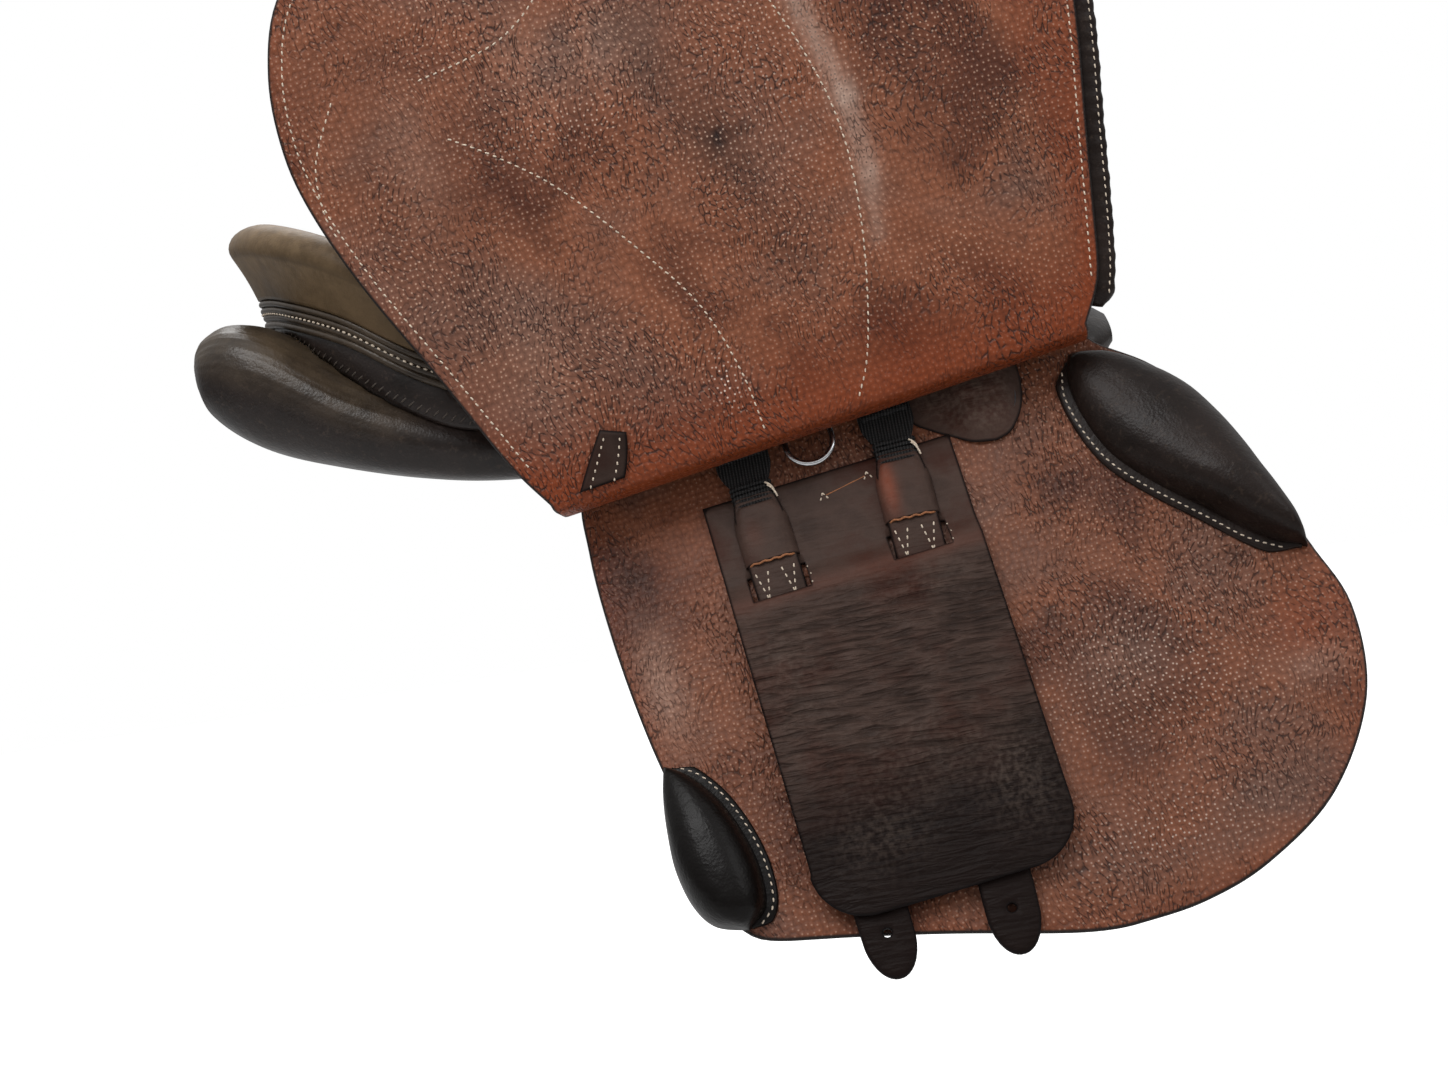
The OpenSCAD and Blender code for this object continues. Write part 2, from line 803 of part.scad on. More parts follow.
// tab wrapped round a dee's bar, on a strip that runs up to top
module dee_tab(width, top, back) {
    eye = dee_wire / 2 + gap;
    wrap = eye + 1.8;
    color(web_black)
    difference() {
        union() {
            translate([-width / 2, 0, 0]) rotate([0, 90, 0]) cylinder(r = wrap, h = width);
            translate([-width / 2, 0, back]) cube([width, top, 2]);
            translate([-width / 2, 0, back]) cube([width, wrap - 0.4, -back]);
        }
        translate([-width / 2 - 1, 0, 0]) rotate([0, 90, 0]) cylinder(r = eye, h = width + 2);
    }
}

dee_tab_w = dee_w - 3;
girth_dee_u = -20;
girth_dee_v = -4;
girth_dee_n = guard_back + guard_t + dee_wire / 2 + 0.6;
girth_dee_bow = 24;
front_dee_u = 134;
front_dee_v = 30;
front_dee_bow = 23;
front_dee_n = head_back + flap_t + gap + 2 + dee_wire / 2;

module at_girth_dee(near)
    on_side(near) translate([girth_dee_u, girth_dee_v, girth_dee_n]) children();

module at_front_dee(near)
    on_side(near) translate([front_dee_u, front_dee_v, front_dee_n]) children();

module girth_dee(near) at_girth_dee(near) dee(girth_dee_bow);

module front_dee(near) at_front_dee(near) dee(front_dee_bow);

module girth_dee_tab(near)
    at_girth_dee(near)
    dee_tab(dee_tab_w, rail_bottom - gap - girth_dee_v, slide_gap - girth_dee_n);

module front_dee_tab(near)
    at_front_dee(near)
    dee_tab(dee_tab_w - 4, 14, head_back + flap_t + gap - front_dee_n);

// Stirrup bars

bar_v = 15;
bar_front = 98;
bar_rear = bar_front - bar_len;
bar_n = head_back + flap_t + 2;
bar_base_t = 3;
catch_pin_u = bar_rear - 6;
tongue_t = 3;
cheek_gap = 0.3;

module stirrup_bar(near) {
    post_w = 12;
    base_w = 36;
    base_h = 16;
    tongue_h = 8;
    color(steel)
    on_side(near)
    difference() {
        union() {
            translate([bar_front - base_w + 6, bar_v - base_h / 2, rail_out + gap])
            cube([base_w, base_h, bar_base_t]);
            translate([bar_front - post_w, bar_v - bar_d / 2, rail_out + gap])
            cube([post_w, bar_d, bar_n - rail_out - gap]);
            translate([bar_rear, bar_v, bar_n]) rotate([0, 90, 0]) cylinder(d = bar_d, h = bar_len);
            translate([catch_pin_u - 4, bar_v - tongue_h / 2, bar_n - tongue_t / 2])
            cube([bar_rear - catch_pin_u + 6, tongue_h, tongue_t]);
        }
        translate([catch_pin_u, bar_v, bar_n - bar_d]) cylinder(d = 3.4, h = 2 * bar_d);
    }
}

// fork at the bar's open end, on a pin across the tongue
module bar_catch(near) {
    cheek_t = 2;
    length = 15;
    nose = 6;
    height = 7;
    inner = tongue_t / 2 + cheek_gap;
    color(steel)
    on_side(near)
    translate([catch_pin_u, bar_v, bar_n])
    union() {
        for (s = [0, 1]) mirror([0, 0, s]) {
            translate([-length, -height / 2, inner]) cube([length, height, cheek_t]);
            translate([0, 0, inner]) cylinder(d = height, h = cheek_t);
        }
        translate([-length, -height / 2, -inner]) cube([nose, height, 2 * inner]);
        translate([0, 0, -inner - cheek_t / 2]) cylinder(d = 2.8, h = 2 * inner + cheek_t);
    }
}

module bar_rivets()
    for (near = [true, false], u = [-24, -16], v = [-4.5, 4.5])
        color(steel)
        on_side(near)
        translate([bar_front + u, bar_v + v, rail_out + gap + bar_base_t + gap / 3])
        cylinder(d = 5, h = 0.8);

// Flaps

head_rear = -165;
head_front = 150;

// strip of the flap sewn under the skirt, with the rolled core of its fold
module flap_head(near) {
    slot_room = 8;
    core_len = head_front - head_rear - 10;
    lip = 6;
    drop = 0.8;
    color(leather_brown)
    union() {
        fold_frame(near)
        union() {
            translate([head_rear + 5, 0, 0]) rotate([0, 90, 0]) cylinder(r = fold_r, h = core_len);
            translate([head_rear + 5, drop, -leaf_in - 0.4]) cube([core_len, lip, leaf_in / 2]);
        }
        difference() {
            union() {
                fold_frame(near)
                translate([0, 0, -leaf_in - flap_t])
                linear_extrude(flap_t)
                polygon([[head_rear, drop], [head_front, drop], [head_front, head_top - fold_v - 6],
                    [-60, head_top - fold_v - 1], [head_rear, 26]]);
                on_side(near)
                translate([-60, hem_v, rail_out + gap])
                cube([head_front - 68, hem_h, head_back + flap_t / 2 - rail_out]);
            }
            on_side(near)
            translate([catch_pin_u - 22, bar_v - slot_room, 0])
            cube([bar_front - catch_pin_u + 22 + slot_room, head_top, fold_n - fold_r]);
        }
    }
}

// outline of a flap away from its fold
flap_outline = [
    [-171, 0.8], [-186, 30], [-207, 87], [-232, 152], [-246, 203], [-249, 240], [-243, 280],
    [-225, 318], [-188, 348], [-120, 366], [-20, 374], [70, 370], [142, 353], [192, 322],
    [212, 282], [213, 240], [204, 195], [195, 152], [184, 108], [173, 62], [163, 24], [148, 0.8]
];

module flap(near)
    color(leather_brown)
    flap_frame(near)
    translate([0, 0, leaf_in])
    linear_extrude(flap_t)
    polygon(smooth_line(flap_outline, 84));

edge_path = [[158, 8], [166, 26], [176, 62], [187, 108], [198, 152], [207, 195], [215, 235], [216, 268]];

module edge_roll(near)
    color(leather_black)
    flap_frame(near)
    translate([0, 0, leaf_in - edge_roll_r])
    swept_tube([for (p = smooth_line(edge_path, 22)) [p[0], p[1], 0]], 8.5, edge_roll_r, 10, 0.4);

module keeper(near)
    color(leather_dark)
    flap_frame(near)
    translate([0, 0, leaf_in + flap_t + gap])
    linear_extrude(keeper_t)
    polygon([[-153, 2], [-126, 2], [-117, 26], [-131, 32]]);

// Skirts: hinged on a straight line beside the seat's wall, they curve out over the stirrup bars

skirt_rear = -98;
skirt_front = 104;
skirt_steps = 20;
skirt_rows = 8;
skirt_out = skirt_t * [0, 0.4, 0.92];

// point of the side frame at the saddle's x, y and z
function to_side(p) =
    let (
        a = p[1] - side_y,
        b = (p[2] - side_z - (p[0] - side_x) * tan(side_rise)) * cos(side_rise),
        v = b * cos(splay) - a * sin(splay),
        n = b * sin(splay) + a * cos(splay))
    [(p[0] - side_x) / cos(side_rise) + b * tan(side_rise), v, n];

// ends of the skirt's seam, beside the seat's wall
skirt_seam_rear = to_side([-64, waist_half_w + 17.4, waist_rim(-60, 0) + 8]);
skirt_seam_front = to_side([
    pommel_reach - 60,
    max(pommel_half_w + 15.4, waist_half_w - 18.6),
    waist_rim(pommel_reach - 72, 0) + 10]);

// inner line of the skirt's section at share t of its length, from the seam down
function skirt_line(t) =
    let (
        seam = lerp(skirt_seam_rear, skirt_seam_front, t),
        u = lerp(skirt_rear, skirt_front, t),
        over_bar = [u, bar_v + 12, bar_n + bar_d / 2 + 1.2],
        hem = [u, seam[1] - skirt_h - 4 * t, bar_n + bar_d / 2 + 4])
    [seam, lerp(seam, over_bar, 0.55) + [0, 2, 4], over_bar, hem];

// share of its depth that the skirt has at share t of its length, less at the rounded ends
function skirt_depth(t) = 0.42 + 0.58 * pow(max(1 - pow(abs(2 * t - 1), 3.2), 0), 0.6);

module skirt(near)
    color(leather_dark)
    on_side(near)
    loft([for (i = [0:skirt_steps])
        let (
            t = i / skirt_steps,
            inner = [for (k = [0:skirt_rows]) along(skirt_line(t), skirt_depth(t) * k / skirt_rows)])
        concat(
            [for (k = [0:skirt_rows]) inner[k] + skirt_out],
            [for (k = [skirt_rows:-1:0]) inner[k]])]);

tree_plate();
head_arch();
pommel_facing();
channel_lining();
tree_rail(true);  // tree_rail_left
tree_rail(false);  // tree_rail_right
tree_point(true);  // tree_point_left
tree_point(false);  // tree_point_right
seat_webbing();
seat_foam();
seat_cover();
seat_welt();
panel_welt();
panel(true);  // panel_left
panel(false);  // panel_right
sweat_flap(true);  // sweat_flap_left
sweat_flap(false);  // sweat_flap_right
knee_block(true);  // knee_block_left
knee_block(false);  // knee_block_right
thigh_block(true);  // thigh_block_left
thigh_block(false);  // thigh_block_right
point_pocket(true);  // point_pocket_left
point_pocket(false);  // point_pocket_right
billet_web(true, false);  // rear_web_left
billet_web(false, false);  // rear_web_right
billet_web(true, true);  // front_web_left
billet_web(false, true);  // front_web_right
billet(true, false);  // rear_billet_left
billet(false, false);  // rear_billet_right
billet(true, true);  // front_billet_left
billet(false, true);  // front_billet_right
billet_guard(true);  // billet_guard_left
billet_guard(false);  // billet_guard_right
web_nails();
girth_dee(true);  // girth_dee_left
girth_dee(false);  // girth_dee_right
girth_dee_tab(true);  // girth_dee_tab_left
girth_dee_tab(false);  // girth_dee_tab_right
front_dee(true);  // front_dee_left
front_dee(false);  // front_dee_right
front_dee_tab(true);  // front_dee_tab_left
front_dee_tab(false);  // front_dee_tab_right
stirrup_bar(true);  // stirrup_bar_left
stirrup_bar(false);  // stirrup_bar_right
bar_catch(true);  // bar_catch_left
bar_catch(false);  // bar_catch_right
bar_rivets();
flap_head(true);  // flap_head_left
flap_head(false);  // flap_head_right
flap(true);  // flap_left
flap(false);  // flap_right
edge_roll(true);  // edge_roll_left
edge_roll(false);  // edge_roll_right
keeper(true);  // keeper_left
keeper(false);  // keeper_right
skirt(true);  // skirt_left
skirt(false);  // skirt_right
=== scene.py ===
"""Looks of a jumping saddle: its leathers, stuffed pads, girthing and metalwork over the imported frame."""

import math

import bmesh
import bpy
import numpy as np
from mathutils import Matrix, Vector
from mathutils.bvhtree import BVHTree


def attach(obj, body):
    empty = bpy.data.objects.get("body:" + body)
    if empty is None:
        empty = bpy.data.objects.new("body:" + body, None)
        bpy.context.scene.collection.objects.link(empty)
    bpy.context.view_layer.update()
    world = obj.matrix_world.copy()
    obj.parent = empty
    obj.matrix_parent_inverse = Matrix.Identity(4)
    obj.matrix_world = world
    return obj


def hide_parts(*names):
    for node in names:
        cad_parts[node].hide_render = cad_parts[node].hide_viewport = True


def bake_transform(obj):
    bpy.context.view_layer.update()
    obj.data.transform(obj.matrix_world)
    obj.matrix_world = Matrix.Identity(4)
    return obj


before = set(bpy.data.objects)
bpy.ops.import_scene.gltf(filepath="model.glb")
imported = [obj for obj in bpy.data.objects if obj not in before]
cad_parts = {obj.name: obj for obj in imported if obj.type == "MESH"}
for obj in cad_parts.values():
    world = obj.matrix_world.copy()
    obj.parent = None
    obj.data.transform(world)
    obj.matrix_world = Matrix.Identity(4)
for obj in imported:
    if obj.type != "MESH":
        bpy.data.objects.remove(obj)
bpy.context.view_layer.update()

bl_info = {
    "name": "Jumping saddle",
    "version": (1, 0, 0),
    "blender": (4, 5, 0),
    "location": "View3D > Sidebar > Saddle",
    "description": "Builds the leathers, pads, girthing and stage of a jumping saddle",
    "category": "Object",
}

MM = 0.001
# thickness of the cut leathers, in millimetres
FLAP_THICK, SWEAT_THICK, SKIRT_THICK = 4.5, 4.0, 3.6
BILLET_THICK, GUARD_THICK, COVER_THICK, KEEPER_THICK = 5.0, 2.2, 1.2, 2.5


def linear(code):
    """Linear colour of an sRGB hex code."""
    parts = [int(code[i:i + 2], 16) / 255 for i in (0, 2, 4)]
    return tuple(c / 12.92 if c <= 0.04045 else ((c + 0.055) / 1.055) ** 2.4 for c in parts)


class SaddleSizes(bpy.types.PropertyGroup):
    """Sizes of the sewn and stuffed details, in millimetres."""

    stitch_step: bpy.props.FloatProperty(
        name="Stitch step", description="Distance from one stitch to the next", default=4.4, min=3, max=8)
    stitch_length: bpy.props.FloatProperty(
        name="Stitch length", description="Length of thread that shows in one stitch", default=3.0, min=1.5, max=6)
    thread_width: bpy.props.FloatProperty(
        name="Thread width", description="Width of the sewing thread", default=0.95, min=0.4, max=2)
    pleat_depth: bpy.props.FloatProperty(
        name="Pleat depth", description="Depth of the pleats at the rear of the panels", default=1.6, min=0, max=4)
    seam_height: bpy.props.FloatProperty(
        name="Seat seam height", description="Height of the piped seams on the seat", default=1.8, min=0, max=4)


class SaddleColours(bpy.types.PropertyGroup):
    """Colours of the leathers, threads and metals."""

    flap: bpy.props.FloatVectorProperty(
        name="Flap leather", description="Waxed pigskin of the flaps", subtype="COLOR", default=linear("8b543b"))
    # greyer patches of the pigskin: partly the dye, partly painted sheen
    flap_grey_sheen: bpy.props.FloatVectorProperty(
        name="Flap grey", description="Greyer patches of the pigskin", subtype="COLOR", default=linear("795445"))
    flap_deep: bpy.props.FloatVectorProperty(
        name="Flap shade", description="Darker patches of the pigskin", subtype="COLOR", default=linear("5a3020"))
    flap_red: bpy.props.FloatVectorProperty(
        name="Flap folds", description="Redder leather where it is bent", subtype="COLOR", default=linear("7d391b"))
    strap: bpy.props.FloatVectorProperty(
        name="Strap leather", description="Bridle leather of straps and guards", subtype="COLOR",
        default=linear("463731"))
    calf: bpy.props.FloatVectorProperty(
        name="Calf", description="Smooth calf of the blocks and panels", subtype="COLOR", default=linear("221a17"))
    seat: bpy.props.FloatVectorProperty(
        name="Seat leather", description="Seat and cantle leather", subtype="COLOR", default=linear("54432f"))
    web: bpy.props.FloatVectorProperty(
        name="Webbing", description="Nylon webbing", subtype="COLOR", default=linear("1b1a1a"))
    thread: bpy.props.FloatVectorProperty(
        name="Thread", description="Waxed linen thread", subtype="COLOR", default=linear("ead8c2"))
    steel: bpy.props.FloatVectorProperty(
        name="Steel", description="Polished steel", subtype="COLOR", default=linear("cfd0d2"))
    beech: bpy.props.FloatVectorProperty(
        name="Tree wood", description="Laminated beech of the tree", subtype="COLOR", default=linear("b08a5c"))


def sizes():
    return bpy.context.scene.saddle_sizes


def colours():
    return bpy.context.scene.saddle_colours


# Frames of the saddle's side, as a rotation and an origin in millimetres

def spun(axis, degrees):
    c, s = math.cos(math.radians(degrees)), math.sin(math.radians(degrees))
    return np.array({
        "x": [[1, 0, 0], [0, c, -s], [0, s, c]],
        "y": [[c, 0, s], [0, 1, 0], [-s, 0, c]],
        "z": [[c, -s, 0], [s, c, 0], [0, 0, 1]]}[axis])


def within(outer, turn, shift):
    return outer[0] @ turn, outer[1] + outer[0] @ np.array(shift, float)


LEVEL = np.eye(3), np.zeros(3)
SPLAY, RISE = 27, 8
SIDE = spun("y", -RISE) @ spun("x", 90 - SPLAY), np.array([40.0, -113.0, 38.0])
FOLD = within(SIDE, spun("z", 2), (0, -10, 27))
REAR_BILLET = within(SIDE, np.eye(3), (-60, -31, 0))
FRONT_BILLET = within(SIDE, spun("z", -4), (26, -31, 0))
RAISED = 23


def placed(place, points, near=False):
    """Points of a frame, in metres in the saddle's own space."""
    world = np.asarray(points, float) @ place[0].T + place[1]
    if near:
        world = world * (1, -1, 1)
    return world * MM


# Curves and surfaces

def along(points, share):
    """Point at a share of an open smooth curve, counted by its points."""
    pts = np.asarray(points, float)
    last = len(pts) - 1
    p = np.clip(np.asarray(share, float), 0, 1) * last
    i = np.minimum(np.floor(p).astype(int), last - 1)
    t = (p - i)[..., None]
    a, b = pts[np.maximum(i - 1, 0)], pts[i]
    c, d = pts[i + 1], pts[np.minimum(i + 2, last)]
    return 0.5 * (2 * b + (c - a) * t + (2 * a - 5 * b + 4 * c - d) * t ** 2 + (3 * b - a - 3 * c + d) * t ** 3)


def evenly(points, count):
    """Smooth curve through the points, cut into even steps."""
    fine = along(points, np.linspace(0, 1, 40 * len(points)))
    run = np.concatenate([[0], np.cumsum(np.linalg.norm(np.diff(fine, axis=0), axis=1))])
    at = np.linspace(0, run[-1], count)
    return np.stack([np.interp(at, run, fine[:, k]) for k in range(fine.shape[1])], 1)


def run_length(path):
    return np.linalg.norm(np.diff(path, axis=0), axis=1).sum()


def between(left, right, cols):
    """Grid of points between two edge curves of the same length."""
    c = np.asarray(cols)[None, :, None]
    return left[:, None] * (1 - c) + right[:, None] * c


def finer_edges(count, first):
    """Shares across a piece, with close steps at both edges for a rounded rim."""
    inner = np.linspace(4 * first, 1 - 4 * first, count)
    return np.concatenate([[0, first, 2.2 * first], inner, [1 - 2.2 * first, 1 - first, 1]])


def grid_faces(rows, cols, closed=False, keep=None, flip=False):
    """Faces of a grid of points; closed joins the last column to the first, flip turns them over."""
    faces = []
    for i in range(rows - 1):
        for j in range(cols if closed else cols - 1):
            if keep is None or keep(i, j):
                k = (j + 1) % cols
                face = (i * cols + j, i * cols + k, (i + 1) * cols + k, (i + 1) * cols + j)
                faces.append(face[::-1] if flip else face)
    return faces


def capped(grid, first, last):
    """Mesh of closed rings in rows, with both ends drawn together at a point."""
    rows, ring = grid.shape[:2]
    verts = np.concatenate([grid.reshape(-1, 3), [first, last]])
    start, end, base = rows * ring, rows * ring + 1, (rows - 1) * ring
    faces = grid_faces(rows, ring, True)
    faces += [((j + 1) % ring, j, start) for j in range(ring)]
    faces += [(base + j, base + (j + 1) % ring, end) for j in range(ring)]
    return verts, faces


def grid_normals(grid):
    across = np.gradient(grid, axis=1)
    down = np.gradient(grid, axis=0)
    n = np.cross(across, down)
    return n / np.maximum(np.linalg.norm(n, axis=-1, keepdims=True), 1e-9)


def upward(grid):
    """Directions off a grid, one for each point, all turned up."""
    n = grid_normals(grid).reshape(-1, 3)
    return n * np.sign(n[:, 2:3])


def straight_up(spots):
    return np.broadcast_to([0.0, 0.0, 1.0], spots.shape)


def edge_distance(points, outline):
    """Distance of flat points to a closed outline."""
    a = np.asarray(outline, float)
    b = np.roll(a, -1, axis=0)
    best = np.full(len(points), 1e9)
    for p, q in zip(a, b):
        d = q - p
        t = np.clip((points - p) @ d / max(d @ d, 1e-9), 0, 1)
        best = np.minimum(best, np.linalg.norm(points - p - t[:, None] * d, axis=1))
    return best


def line_distance(points, a, b):
    a, b = np.array(a, float), np.array(b, float)
    d = b - a
    t = np.clip((points - a) @ d / (d @ d), 0, 1)
    return np.linalg.norm(points - a - t[:, None] * d, axis=1)


def swells(points, spots):
    """Sum of soft rises: x, y, half width along x and y, height."""
    out = np.zeros(len(points))
    for x, y, wide, tall, rise in spots:
        out += rise * np.exp(-((points[:, 0] - x) / wide) ** 2 - ((points[:, 1] - y) / tall) ** 2)
    return out


def creases(points, lines):
    """Sum of soft folds along straight lines: start, end, half width, height."""
    out = np.zeros(len(points))
    for a, b, wide, rise in lines:
        out += rise * np.exp(-(line_distance(points, a, b) / wide) ** 2)
    return out


def rounded(thick, edge, radius):
    """Thickness that thins to a round at the cut edge."""
    t = np.clip(edge / radius, 0, 1)
    return thick * (0.3 + 0.7 * np.sqrt(1 - (1 - t) ** 2))


def thicken(points, faces, normals, thick):
    """Closed skin of a thickness about a middle surface."""
    n = len(points)
    half = normals * (np.broadcast_to(thick, n) / 2)[:, None]
    verts = np.concatenate([points + half, points - half])
    edges = {(a, b) for f in faces for a, b in zip(f, f[1:] + f[:1])}
    out = list(faces) + [tuple(v + n for v in reversed(f)) for f in faces]
    out += [(b, a, a + n, b + n) for a, b in edges if (b, a) not in edges]
    return verts, out


def tube(path, radius, sides=12, closed=False, up=(0, 0, 1)):
    """Tube along a path; radius is a number or a pair across and along the up direction, for each point."""
    path = np.asarray(path, float)
    n = len(path)
    if closed:
        tangent = np.roll(path, -1, axis=0) - np.roll(path, 1, axis=0)
    else:
        tangent = np.gradient(path, axis=0)
    tangent /= np.linalg.norm(tangent, axis=1, keepdims=True)
    up = np.broadcast_to(np.asarray(up, float), path.shape)
    side = np.cross(tangent, up)
    side /= np.linalg.norm(side, axis=1, keepdims=True)
    lift = np.cross(side, tangent)
    radius = np.asarray(radius, float)
    if radius.ndim < 2:
        radius = np.stack([np.broadcast_to(radius, n)] * 2, 1)
    a = np.linspace(0, 2 * np.pi, sides, endpoint=False)
    rings = (path[:, None]
             + side[:, None] * (radius[:, :1] * np.cos(a))[..., None]
             + lift[:, None] * (radius[:, 1:] * np.sin(a))[..., None])
    verts = rings.reshape(-1, 3)
    faces = [(b, a_, d, c) for a_, b, c, d in grid_faces(n, sides, True)]
    if closed:
        base = (n - 1) * sides
        faces += [((j + 1) % sides, base + (j + 1) % sides, base + j, j)[::-1] for j in range(sides)]
    else:
        verts = np.concatenate([verts, path[:1], path[-1:]])
        faces += [((j + 1) % sides, j, n * sides)[::-1] for j in range(sides)]
        base = (n - 1) * sides
        faces += [(base + j, base + (j + 1) % sides, n * sides + 1)[::-1] for j in range(sides)]
    return verts, faces


def joined(*meshes):
    verts, faces, base = [], [], 0
    for v, f in meshes:
        verts.append(v)
        faces += [tuple(i + base for i in face) for face in f]
        base += len(v)
    return np.concatenate(verts), faces


def outward(obj):
    """Weld a closed mesh and turn all its faces outward."""
    bm = bmesh.new()
    bm.from_mesh(obj.data)
    bmesh.ops.remove_doubles(bm, verts=bm.verts, dist=1e-6)
    bmesh.ops.recalc_face_normals(bm, faces=bm.faces)
    bm.to_mesh(obj.data)
    bm.free()


def piece(name, mesh, skin, body, place=SIDE, near=False, fields=None, stands_for=()):
    """One piece of the saddle, riding on a body; a near piece is the mirror of the off one."""
    verts, faces = mesh
    data = bpy.data.meshes.new(name)
    world = placed(place, verts, near)
    data.from_pydata(world.tolist(), [], [tuple(reversed(f)) if near else f for f in faces])
    for key, values in (fields or {}).items():
        values = np.asarray(values, np.float32)
        if len(values) * 2 == len(verts):
            values = np.concatenate([values, values])
        kind, part = ("FLOAT_VECTOR", "vector") if values.ndim == 2 else ("FLOAT", "value")
        data.attributes.new(key, kind, "POINT").data.foreach_set(part, values.ravel())
    data.polygons.foreach_set("use_smooth", [True] * len(data.polygons))
    data.materials.append(skin)
    data.update()
    obj = bpy.data.objects.new(name, data)
    bpy.context.scene.collection.objects.link(obj)
    if body:
        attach(obj, body)
    if stands_for:
        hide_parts(*stands_for)
    return obj


def search_tree(mesh):
    return BVHTree.FromPolygons([tuple(v) for v in mesh[0]], [tuple(f) for f in mesh[1]])


def dropped(path, mesh, height=200.0, sign=1):
    """Path laid on a mesh of the same frame, looking along its outward axis: points and normals."""
    tree = search_tree(mesh)
    spots, normals = [], []
    for x, y in path:
        hit, normal, _, _ = tree.ray_cast(Vector((x, y, sign * height)), Vector((0, 0, -sign)))
        if hit is not None:
            if normal.z * sign < 0:
                normal = -normal
            spots.append(tuple(hit))
            normals.append(tuple(normal))
    return np.array(spots), np.array(normals)


def stitches(spots, normals, length=None, width=None, slant=8.0):
    """Grains of thread at the spots of a path."""
    length = length or sizes().stitch_length
    width = width or sizes().thread_width
    if len(spots) < 2:
        raise RuntimeError("a row of stitches needs at least two spots")
    ahead = np.gradient(spots, axis=0)
    ahead /= np.maximum(np.linalg.norm(ahead, axis=1, keepdims=True), 1e-9)
    side = np.cross(normals, ahead)
    side /= np.maximum(np.linalg.norm(side, axis=1, keepdims=True), 1e-9)
    lean = math.radians(slant)
    d = ahead * math.cos(lean) + side * math.sin(lean)
    s = side * math.cos(lean) - ahead * math.sin(lean)
    w, h, half = width / 2, width * 0.42, length / 2
    parts = [spots - d * half - normals * 0.25]
    for k in (-0.55, 0.55):
        centre = spots + d * half * k
        parts += [centre + s * w, centre + normals * h, centre - s * w, centre - normals * 0.3]
    parts.append(spots + d * half - normals * 0.25)
    verts = np.stack(parts, 1).reshape(-1, 3)
    faces = []
    for b in range(0, 10 * len(spots), 10):
        for j in range(4):
            k = (j + 1) % 4
            faces += [(b, b + 1 + k, b + 1 + j), (b + 1 + j, b + 1 + k, b + 5 + k, b + 5 + j),
                      (b + 5 + j, b + 5 + k, b + 9)]
    return verts, faces


def row(points, step=None):
    """Even stitch spots along a smooth path."""
    path = evenly(points, 400)
    count = max(int(run_length(path) / (step or sizes().stitch_step)), 2)
    return evenly(points, count)


# Finishes

NOISE, CELLS, WAVES = "ShaderNodeTexNoise", "ShaderNodeTexVoronoi", "ShaderNodeTexWave"
RAMP, MIX, RANGE = "ShaderNodeValToRGB", "ShaderNodeMixRGB", "ShaderNodeMapRange"
FIELD, PLACE, BUMP = "ShaderNodeAttribute", "ShaderNodeMapping", "ShaderNodeBump"
SHADER, OUTPUT = "ShaderNodeBsdfPrincipled", "ShaderNodeOutputMaterial"


def add(tree, kind, links=None, stops=(), **settings):
    """Add a node with its settings, values, links and colour stops, and give its outputs."""
    node = tree.nodes.new(kind)
    for key, value in settings.items():
        setattr(node, key, value)
    for key, value in (links or {}).items():
        if isinstance(value, bpy.types.NodeSocket):
            tree.links.new(value, node.inputs[key])
        elif node.inputs[key].type == "RGBA":
            node.inputs[key].default_value = (*value, 1.0)
        else:
            node.inputs[key].default_value = value
    if stops:
        ends = node.color_ramp.elements
        for at, _ in stops[1:-1]:
            ends.new(at)
        ends[0].position, ends[-1].position = stops[0][0], stops[-1][0]
        for end, (_, value) in zip(ends, stops):
            end.color = (value, value, value, 1.0) if isinstance(value, float) else (*value, 1.0)
    return node.outputs


def mixed(tree, share, under, over, way="MIX"):
    return add(tree, MIX, {"Fac": share, "Color1": under, "Color2": over}, blend_type=way)[0]


def times(tree, one, other):
    return mixed(tree, 1.0, one, other, "MULTIPLY")


def stepped(tree, value, *stops):
    return add(tree, RAMP, {"Fac": value}, stops)[0]


def field(tree, name):
    """Number that the piece carries at each of its points."""
    return add(tree, FIELD, attribute_name=name)[0]


def below_zero(tree, value):
    """Share that grows to one as a value falls from nought to minus one."""
    return add(tree, RANGE, {"Value": value, "From Min": 0.0, "From Max": -1.0})[0]


def edge_paint(tree, near, far, most=1.0):
    """Share of edge paint: full nearer the cut edge than near, none beyond far, both in millimetres."""
    return add(tree, RANGE, {"Value": field(tree, "edge"), "From Min": near, "From Max": far, "To Min": most,
                             "To Max": 0.0})[0]


def shaded(colour, share):
    return [c * share for c in colour]


def finish(name):
    """New empty material: itself, its tree, and places on the piece in metres."""
    mat = bpy.data.materials.new(name)
    mat.use_nodes = True
    mat.node_tree.nodes.clear()
    return mat, mat.node_tree, add(mat.node_tree, "ShaderNodeTexCoord")["Object"]


def surfaced(mat, values):
    """Close a material with its surface, and give it back."""
    shader = add(mat.node_tree, SHADER, values)[0]
    add(mat.node_tree, OUTPUT, {"Surface": shader})
    return mat


